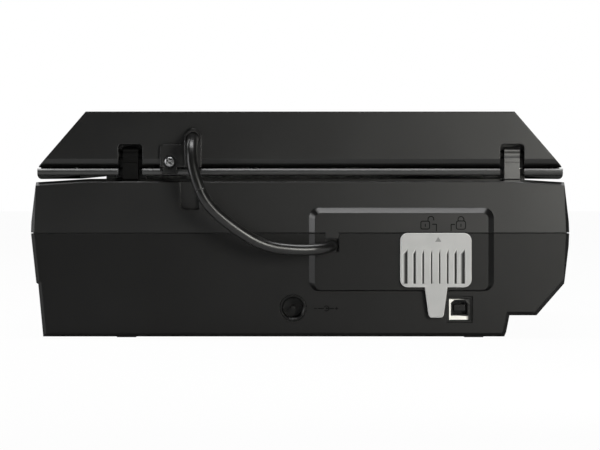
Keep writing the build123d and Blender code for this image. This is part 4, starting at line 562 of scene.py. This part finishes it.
def grid_faces(rows, columns, closed=True):
    """Quads of a grid of points, row after row; closed joins the last column to the first."""
    steps = columns if closed else columns - 1
    row, column = np.meshgrid(np.arange(rows - 1), np.arange(steps), indexing="ij")
    after = (column + 1) % columns
    here, beyond = row * columns, (row + 1) * columns
    corners = (here + column, here + after, beyond + after, beyond + column)
    return np.stack(corners, axis=-1).reshape(-1, 4)


def grid_mesh(name, grid, material, closed=True):
    """An object from one grid of points, with the rows first and the columns second."""
    faces = grid_faces(len(grid), grid.shape[1], closed)
    return add_mesh(name, grid.reshape(-1, 3), faces, material)


print("a grid of 3 by 4 points has", len(grid_faces(3, 4, False)), "quads")

# %% [markdown]
# ## A skin carried along a line
#
# Cables and raised strokes are the same thing in two sizes: a circle carried along a line.
# At each point of the line two directions across it are found, and the circle is drawn
# on them. Both come from one guide direction that no line here runs along, so that the
# circles don't twist against one another.


# %% Rings along a line
RING_GUIDE = (0.3, 1.0, 0.1)


def carried_rings(line, radius, sides):
    """Each point plus radius times cosine and sine of the angle on two directions across the line."""
    run = np.gradient(line, axis=0)
    run /= np.linalg.norm(run, axis=1, keepdims=True)
    across = np.cross(run, RING_GUIDE)
    across /= np.linalg.norm(across, axis=1, keepdims=True)
    over = np.cross(across, run)
    angle = np.linspace(0, 2 * math.pi, sides, endpoint=False)[None, :, None]
    ring = across[:, None, :] * np.cos(angle) + over[:, None, :] * np.sin(angle)
    return line[:, None, :] + radius * ring


def closed_rings(line, radius, sides):
    """The rings of a line, between a row on its first point and a row on its last."""
    first = np.broadcast_to(line[0], (1, sides, 3))
    last = np.broadcast_to(line[-1], (1, sides, 3))
    return np.concatenate([first, carried_rings(line, radius, sides), last])


def tube(name, line, radius, sides, material):
    """A closed tube: round sides along the line, and a flat cap fanned into each end's middle."""
    made = grid_mesh(name, closed_rings(line, radius, sides), material)
    round_sides = np.ones(len(made.data.polygons), bool)
    round_sides[:sides] = False
    round_sides[-sides:] = False
    made.data.polygons.foreach_set("use_smooth", round_sides)
    return made


print("rings take their first direction across from", RING_GUIDE)

# %% [markdown]
# ## The cable between lid and case
#
# The lid's lamp is fed by one round cable, 6 mm thick, that leaves the cable cover,
# hangs in a single swing and goes into the raised panel. A smooth spline with a few
# control points gives its line. Blender works the spline out, and the points
# that it finds are read off as an array. The upper length ends and the lower one begins
# at one joint beside the hinge.


# %% The cable's line
SPLINE_STEPS = 24
SPLINE_ORDER = 3
CABLE_JOINT = (0.05145, 0.2600, 0.07725)
UPPER_ROUTE = (
    (0.0556, 0.2330, 0.1044),
    (0.0556, 0.2450, 0.1040),
    (0.0564, 0.2554, 0.0980),
    (0.0551, 0.2590, 0.0865),
    CABLE_JOINT,
)
LOWER_ROUTE = (
    CABLE_JOINT,
    (0.04853, 0.2608, 0.06985),
    (0.0338, 0.2595, 0.0574),
    (0.0184, 0.2565, 0.0481),
    (0.0020, 0.2538, 0.0461),
    (-0.0113, 0.2502, 0.0466),
    (-0.0169, 0.2430, 0.0482),
    (-0.0169, 0.2336, 0.0486),
)


def spline_line(name, points):
    """Points read off a quadratic NURBS spline with these control points, ends held."""
    curve = bpy.data.curves.new(name, "CURVE")
    curve.dimensions = "3D"
    curve.resolution_u = SPLINE_STEPS
    spline = curve.splines.new("NURBS")
    spline.points.add(len(points) - 1)
    for point, place in zip(spline.points, points):
        point.co = (*place, 1.0)
    spline.order_u = SPLINE_ORDER
    spline.use_endpoint_u = True
    holder = bpy.data.objects.new(name, curve)
    bpy.context.scene.collection.objects.link(holder)
    bpy.context.view_layer.update()
    evaluated = holder.evaluated_get(bpy.context.evaluated_depsgraph_get())
    mesh = bpy.data.meshes.new_from_object(evaluated)
    line = np.array([v.co for v in mesh.vertices], float)
    bpy.data.objects.remove(holder)
    bpy.data.curves.remove(curve)
    bpy.data.meshes.remove(mesh)
    return line


upper_line = spline_line("upper cable line", UPPER_ROUTE)
lower_line = spline_line("lower cable line", LOWER_ROUTE)
print("cable line points:", len(upper_line), "and", len(lower_line))

# %% [markdown]
# ## The cable's skin
#
# The real cable bends when the lid lifts and opens. The cable could be a curve with a bevel;
# here it is a mesh tube in two lengths that stay where they are: the upper length goes from
# the lid to the hinge posts, the lower one from the posts to the case. Both stand in for the
# rigid lengths of the imported model. The sheath is smooth and glossy, with a sheen that
# dust dulls in small patches.


# %% The cable's two lengths
CABLE_THICK = 0.006
CABLE_SIDES = 32
SHEATH_GLOSS = 0.31


def cable_skin():
    """Glossy black sheath: an even sheen, dulled a little where dust lies."""
    made = Finish("cable sheath", Base_Color=grey(0.005), Roughness=SHEATH_GLOSS)
    dust = made.noise(0.003, 5.0)
    made.feed(
        Base_Color=made.blend(made.ramp(dust, 0.45, 0.8), grey(0.004), grey(0.010)),
        Roughness=SHEATH_GLOSS + (dust - 0.5) * 0.12,
    )
    return made.relief(dust, 0.00001).material


def length_of(line):
    """Sum of the distances from each point to the next."""
    return float(np.linalg.norm(np.diff(line, axis=0), axis=1).sum())


sheath = cable_skin()
upper_cable = tube("cable_upper", upper_line, CABLE_THICK / 2, CABLE_SIDES, sheath)
lower_cable = tube("cable_lower", lower_line, CABLE_THICK / 2, CABLE_SIDES, sheath)
for piece, line, node, bodies in (
    (upper_cable, upper_line, "cover_cable_upper", ("lid", "posts")),
    (lower_cable, lower_line, "cover_cable_lower", ("posts", "base")),
):
    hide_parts(node)
    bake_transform(piece)
    print(piece.name, "length", round(length_of(line), 4))

# %% [markdown]
# ## Marks on the rear
#
# Two small padlocks above the transport lock say which way is open and which is locked,
# each with a leader line down to the slider. Beside the power socket stands the common
# sign for a plug with its plus in the middle. Each sign is a handful of arcs and lines,
# given in millimetres across the rear and up from the table.


# %% Outlines in millimetres
def arc(x, z, radius, start, end, steps=16):
    """Points on part of a circle, angles in degrees: centre plus radius times cosine and sine."""
    turn = np.radians(np.linspace(start, end, steps))
    return np.stack([x + radius * np.cos(turn), z + radius * np.sin(turn)], axis=-1)


def rounded_box(x_low, x_high, z_low, z_high, corner):
    """A closed outline with round corners, as four quarter circles one after another."""
    corners = (
        (x_high - corner, z_high - corner, 0),
        (x_low + corner, z_high - corner, 90),
        (x_low + corner, z_low + corner, 180),
        (x_high - corner, z_low + corner, 270),
    )
    points = np.concatenate([arc(x, z, corner, start, start + 90, 6) for x, z, start in corners])
    return np.concatenate([points, points[:1]])


PADLOCK_STROKES = (
    rounded_box(-67.2, -62.7, 56.9, 61.0, 0.8),
    np.concatenate([[(-66.4, 61.2)], arc(-67.9, 62.0, 1.5, 0, 180), [(-69.4, 61.4)]]),
    ((-65.0, 58.1), (-65.0, 59.6)),
    ((-68.6, 59.4), (-70.8, 59.4), (-70.8, 55.7)),
    rounded_box(-85.9, -81.1, 56.8, 61.1, 1.0),
    np.concatenate([[(-82.0, 61.2)], arc(-83.5, 61.9, 1.5, 0, 180), [(-85.0, 61.2)]]),
    ((-83.5, 58.0), (-83.5, 59.6)),
    ((-80.4, 59.3), (-78.4, 59.3), (-78.4, 55.7)),
)
PLUG_STROKES = (
    arc(-13.6, 15.6, 1.3, 35, 325, 24),
    arc(-13.6, 15.6, 0.25, 0, 360, 8),
    ((-13.6, 15.6), (-17.6, 15.6)),
    ((-12.3, 15.6), (-9.4, 15.6)),
    ((-8.6, 15.6), (-7.2, 15.6)),
    ((-18.2, 15.6), (-19.8, 15.6)),
    ((-19.0, 14.8), (-19.0, 16.4)),
)
print("padlock strokes:", len(PADLOCK_STROKES), "plug strokes:", len(PLUG_STROKES))

# %% [markdown]
# ## Strokes laid on a face
#
# The marks are pressed into the mould, so each stroke is a thin dark bead that lies almost
# wholly in the surface. A picture laid over the case would do from afar and blur close by.
# The strokes are first made of many points, and a ray onto the case finds how far back
# each point lies. A bead is then a skin carried along them, like the cable's.


# %% Strokes laid on a face
MM_PER_METRE = 1000
REAR_SIDE, FRONT_SIDE = 1.0, -1.0
BEAD_LIFT = -0.6
BEAD_SIDES = 8
POINT_GAP = 0.25


def denser(path):
    """The same path with points at most POINT_GAP apart, by straight interpolation along its length."""
    path = np.asarray(path, float)
    reach = np.concatenate([[0], np.cumsum(np.linalg.norm(np.diff(path, axis=0), axis=1))])
    at = np.linspace(0, reach[-1], max(3, int(reach[-1] / POINT_GAP) + 2))
    return np.stack([np.interp(at, reach, path[:, axis]) for axis in (0, 1)], axis=-1)


def laid_on(part, path, lift, side):
    """Path points in millimetres over X and Z, put on the part's face at that side and lifted from it."""
    points = []
    for x, z in path / MM_PER_METRE:
        met = part.ray_cast(Vector((x, side, z)), Vector((0, -side, 0)))[1]
        points.append((x, met.y + side * lift, z))
    return np.array(points)


def beads(name, part, paths, radius, material, side=REAR_SIDE, body="base"):
    """One mesh of round beads along paths on a part: rings carried along each, ends drawn to a point."""
    verts, faces, used = [], [], 0
    for path in paths:
        line = laid_on(part, denser(path), radius * BEAD_LIFT, side)
        grid = closed_rings(line, radius, BEAD_SIDES)
        verts.append(grid.reshape(-1, 3))
        faces.append(grid_faces(len(grid), BEAD_SIDES) + used)
        used += len(verts[-1])
    made = add_mesh(name, np.concatenate(verts), np.concatenate(faces), material)
    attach(made, body)
    print(name, "strokes", len(paths), "points", used)
    return made


PADLOCK_BEAD, PLUG_BEAD = 0.0003, 0.00028
mark_black = smooth("mark black", grey(0.0008), 0.8, 0.001, Specular_IOR_Level=0.1)
beads("padlock_marks", nodes["upper_case"], PADLOCK_STROKES, PADLOCK_BEAD, mark_black)
beads("plug_mark", nodes["lower_case"], PLUG_STROKES, PLUG_BEAD, mark_black)

# %% [markdown]
# ## Signs on the front buttons
#
# Each button carries a small printed sign: a ring with a bar for power, a page, an envelope,
# two pages and an arrow for the scan itself. These are the common signs of office machines.
# They use the same beads, laid on each button's own face so that they move with it.


# %% Button signs
def shifted(paths, x, z):
    """The same paths round another middle."""
    return [np.asarray(path, float) + (x, z) for path in paths]


SIGN_BEAD = 0.0002
PAGE = ((-1.2, -1.7), (1.2, -1.7), (1.2, 0.9), (0.4, 1.7), (-1.2, 1.7), (-1.2, -1.7))
SIGNS = {
    "button_power": (arc(0, 0, 1.9, 120, 420, 28), ((0, 0.4), (0, 2.4))),
    "button_pdf": (PAGE, ((-0.5, 0.3), (0.6, 0.3)), ((-0.5, -0.6), (0.6, -0.6))),
    "button_mail": (
        ((-2.0, -1.3), (2.0, -1.3), (2.0, 1.3), (-2.0, 1.3), (-2.0, -1.3)),
        ((-2.0, 1.3), (0, -0.2), (2.0, 1.3)),
    ),
    "button_copy": (
        ((-1.9, -1.9), (0.6, -1.9), (0.6, 1.0), (-1.9, 1.0), (-1.9, -1.9)),
        ((-0.7, 1.0), (-0.7, 2.0), (1.9, 2.0), (1.9, -0.9), (0.6, -0.9)),
    ),
    "button_start": (((-2.2, 0), (1.6, 0)), ((0.3, 1.6), (2.1, 0), (0.3, -1.6))),
}
sign_grey = smooth("sign print grey", grey(0.03), 0.5, 0.001, 0.000005)
for button, signs in SIGNS.items():
    low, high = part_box(button)
    middle_x = (low.x + high.x) / 2 * MM_PER_METRE
    middle_z = (low.z + high.z) / 2 * MM_PER_METRE
    strokes = shifted(signs, middle_x, middle_z)
    beads(button + "_sign", nodes[button], strokes, SIGN_BEAD, sign_grey, FRONT_SIDE, button)

# %% [markdown]
# ## Cover screw
#
# The one bright thing on the lid is the screw that holds the cable cover: a domed head
# with a cross recess. It could be cut with booleans, but these leave ragged faces on so
# small a dome. So it is a disc given in two parameters, distance from the middle and
# angle. The height is a shallow dome with a round shoulder, less a cross whose four arms
# get narrower and shallower outwards. The grid is fine enough for the arms' walls to stay crisp.


# %% Cross-recess screw
CROSS_TURN = 0.5
ARM_HALF_WIDTH, ARM_TIP, ARM_WALL = 0.17, 1.25, 0.05
CROSS_DEPTH, FLOOR_START, FLOOR_RISE = 0.62, 1.15, 1.3
DOME_FALL, DOME_POWER = 0.93, 2.6
FIRST_RING, SCREW_RINGS, SCREW_TURNS = 0.02, 44, 144
SCREW_CENTRE = (0.0678, 0.0918)
SCREW_RADIUS = 0.0027
SCREW_THICK = 0.0017


def domed_screw(name, centre, radius, base_y, thick, material):
    """Head facing +Y: thickness times the root of one minus a power of distance, less the cross."""
    far = np.concatenate([np.linspace(FIRST_RING, 1.0, SCREW_RINGS), [1.0]])[:, None]
    turn = np.linspace(0, 2 * math.pi, SCREW_TURNS, endpoint=False)[None, :]
    cosine, sine = np.abs(np.cos(turn + CROSS_TURN)), np.abs(np.sin(turn + CROSS_TURN))
    along = np.maximum(cosine, sine) * far
    aside = np.minimum(cosine, sine) * far
    half_width = ARM_HALF_WIDTH * np.clip(ARM_TIP - along, 0, 1)
    wall = np.clip((half_width - aside) / ARM_WALL, 0, 1)
    depth = wall * np.clip(FLOOR_START - FLOOR_RISE * along, 0, 1)
    dome = np.sqrt(np.clip(1.0 - DOME_FALL * far**DOME_POWER, 0, 1))
    rise = thick * (dome - CROSS_DEPTH * depth)
    rise[-1, :] = 0.0
    x = centre[0] + radius * far * np.cos(turn)
    z = centre[1] + radius * far * np.sin(turn)
    disc = np.stack(np.broadcast_arrays(x, base_y + rise, z), axis=-1)
    middle = np.broadcast_to(disc[0].mean(axis=0), (1, SCREW_TURNS, 3))
    back = np.broadcast_to([centre[0], base_y, centre[1]], (1, SCREW_TURNS, 3))
    grid = np.concatenate([middle, disc, back])
    made = grid_mesh(name, grid, material)
    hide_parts("cover_screw")
    print(name, "points", grid.shape[0] * grid.shape[1])
    return made


screw_corners = np.array(nodes["cover_screw"].bound_box)
screw_seat_y = float(screw_corners[:, 1].max()) - SCREW_THICK
screw_head = domed_screw(
    "cover_screw_head", SCREW_CENTRE, SCREW_RADIUS, screw_seat_y, SCREW_THICK, screw_steel
)
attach(screw_head, "lid")

# %% [markdown]
# ## Studio
#
# The photograph has a pure white ground. The floor is one wide sheet of pale paper, and
# the air beyond it is dim. Both show white to the camera, while the paper's own matt colour
# still takes the scanner's soft shadow. A dim room is what keeps black plastic black: only
# the lamps and the lit paper around the scanner show in its sheen. That is why the paper
# is plain white to camera rays and through glass, but hardly at all to glossy rays.


# %% Floor and air
PAPER_LEVEL = 0.72
PAPER_HALF_WIDTH = 9.0
PAPER_POINTS = 9
WHITE_SHARE = 0.97
GLOSS_SHARE = 0.03
AIR_DIMNESS = 0.02


def pale_ground(name):
    """Matt paper that shows as plain white to the camera and through glass, but hardly in gloss."""
    made = Finish(name, Base_Color=grey(PAPER_LEVEL), Roughness=0.9)
    sight = made.node("ShaderNodeLightPath", output="Is Camera Ray")
    gloss = made.node("ShaderNodeLightPath", output="Is Glossy Ray")
    through = made.node("ShaderNodeLightPath", output="Is Transmission Ray")
    white = made.node("ShaderNodeEmission", None, {"Strength": 1.0})
    seen = (sight + gloss * GLOSS_SHARE + through) * WHITE_SHARE
    matt = Value(made, made.shader.outputs[0])
    made.show(made.node("ShaderNodeMixShader", None, {0: seen, 1: matt, 2: white}), "Material Output")
    return made.material


def paper_floor():
    """A flat sheet under everything: a grid of equal steps both ways at height zero."""
    side = np.linspace(-PAPER_HALF_WIDTH, PAPER_HALF_WIDTH, PAPER_POINTS)
    level = np.zeros((PAPER_POINTS, PAPER_POINTS))
    grid = np.stack(np.broadcast_arrays(side[:, None], side[None, :], level), axis=-1)
    made = grid_mesh("paper_floor", grid, pale_ground("paper white"), closed=False)
    return made


def studio_air():
    """World that is white to the camera and dim to every other ray."""
    world = bpy.data.worlds.new("studio air")
    world.use_nodes = True
    air = Web(world.node_tree)
    dim = air.node("ShaderNodeBackground", None, {"Color": grey(1.0), "Strength": AIR_DIMNESS})
    white = air.node("ShaderNodeBackground", None, {"Color": grey(1.0), "Strength": 1.0})
    sight = air.node("ShaderNodeLightPath", output="Is Camera Ray")
    air.show(air.node("ShaderNodeMixShader", None, {0: sight, 1: dim, 2: white}), "World Output")
    return world


floor = paper_floor()
bpy.context.scene.world = studio_air()
print("floor", round(floor.dimensions.x, 1), "m wide, air at", AIR_DIMNESS)

# %% [markdown]
# ## Lamps
#
# Black plastic is drawn by what it reflects. A small panel to the right of the camera and
# near the scanner makes the flat rear faces grow lighter towards that side; it is a touch
# warm. An overhead panel lights every edge that leans up, and a strip on the left those
# that lean left. No strip stands on the right, so edges that lean that way stay dark, as
# they do in the photograph. The last panel is for views of the front.


# %% Soft panels
NEUTRAL = (1.0, 1.0, 1.0)
WARM = (1.0, 0.99, 0.93)


def softbox(name, place, target, size, power, tint=NEUTRAL):
    """A rectangular lamp of the given size in metres and power in watts, aimed at a point."""
    data = bpy.data.lights.new(name, "AREA")
    data.shape = "RECTANGLE"
    data.size, data.size_y = size
    data.energy = power
    data.color = tint
    lamp = bpy.data.objects.new(name, data)
    bpy.context.scene.collection.objects.link(lamp)
    lamp.location = place
    away = Vector(place) - Vector(target)
    lamp.rotation_euler = away.to_track_quat("Z", "Y").to_euler()
    return lamp


right_panel = softbox(
    "panel right of camera",
    place=(-0.41, 1.03, 0.20),
    target=(-0.1, 0.24, 0.08),
    size=(0.25, 0.35),
    power=5.3,
    tint=WARM,
)
overhead_panel = softbox(
    "overhead panel",
    place=(-0.02, 0.17, 1.5),
    target=(-0.02, 0.17, 0.06),
    size=(1.1, 0.6),
    power=17,
)
left_strip = softbox(
    "left strip",
    place=(1.5, 0.45, 0.35),
    target=(0.0, 0.24, 0.06),
    size=(0.4, 1.1),
    power=8,
)
front_panel = softbox(
    "front panel",
    place=(1.5, -1.5, 1.5),
    target=(0, -0.1, 0.06),
    size=(1.6, 1.0),
    power=22,
)
lamps = (right_panel, overhead_panel, left_strip, front_panel)
print("lamps:", [lamp.name for lamp in lamps])

# %% [markdown]
# ## Camera
#
# The photograph looks straight at the rear from far away, with its eye level at the gap
# under the lid. A long lens and a small shift keep every upright line upright. The scale
# comes from the data socket, whose shell has one standard size: so many millimetres of the
# real thing fall on one pixel of the picture.

# %% Camera
FRAME_WIDTH_PX, MM_PER_PX = 600, 0.5197
AXIS_PX = (300.1, 338.5)
FRAME_HALF_HEIGHT_PX = 225
REAR_WALL_Y = 0.2375
EYE_HEIGHT = 0.084
EYE_DISTANCE = 2.5
view_width = FRAME_WIDTH_PX * MM_PER_PX / MM_PER_METRE
centre_height = (AXIS_PX[1] - FRAME_HALF_HEIGHT_PX) * MM_PER_PX / MM_PER_METRE
eye_x = (AXIS_PX[0] - FRAME_WIDTH_PX / 2) * MM_PER_PX / MM_PER_METRE
lens = bpy.data.cameras.new("rear view")
lens.sensor_width = 36.0
lens.lens = lens.sensor_width * EYE_DISTANCE / view_width
lens.shift_y = (centre_height - EYE_HEIGHT) / view_width
lens.clip_end = 50.0
camera = bpy.data.objects.new("camera", lens)
bpy.context.scene.collection.objects.link(camera)
camera.location = (eye_x, REAR_WALL_Y + EYE_DISTANCE, EYE_HEIGHT)
camera.rotation_euler = (math.pi / 2, 0, math.pi)
bpy.context.scene.camera = camera
bpy.context.scene.view_settings.view_transform = "Standard"
print("camera lens", round(lens.lens, 1), "shift", round(lens.shift_y, 4))
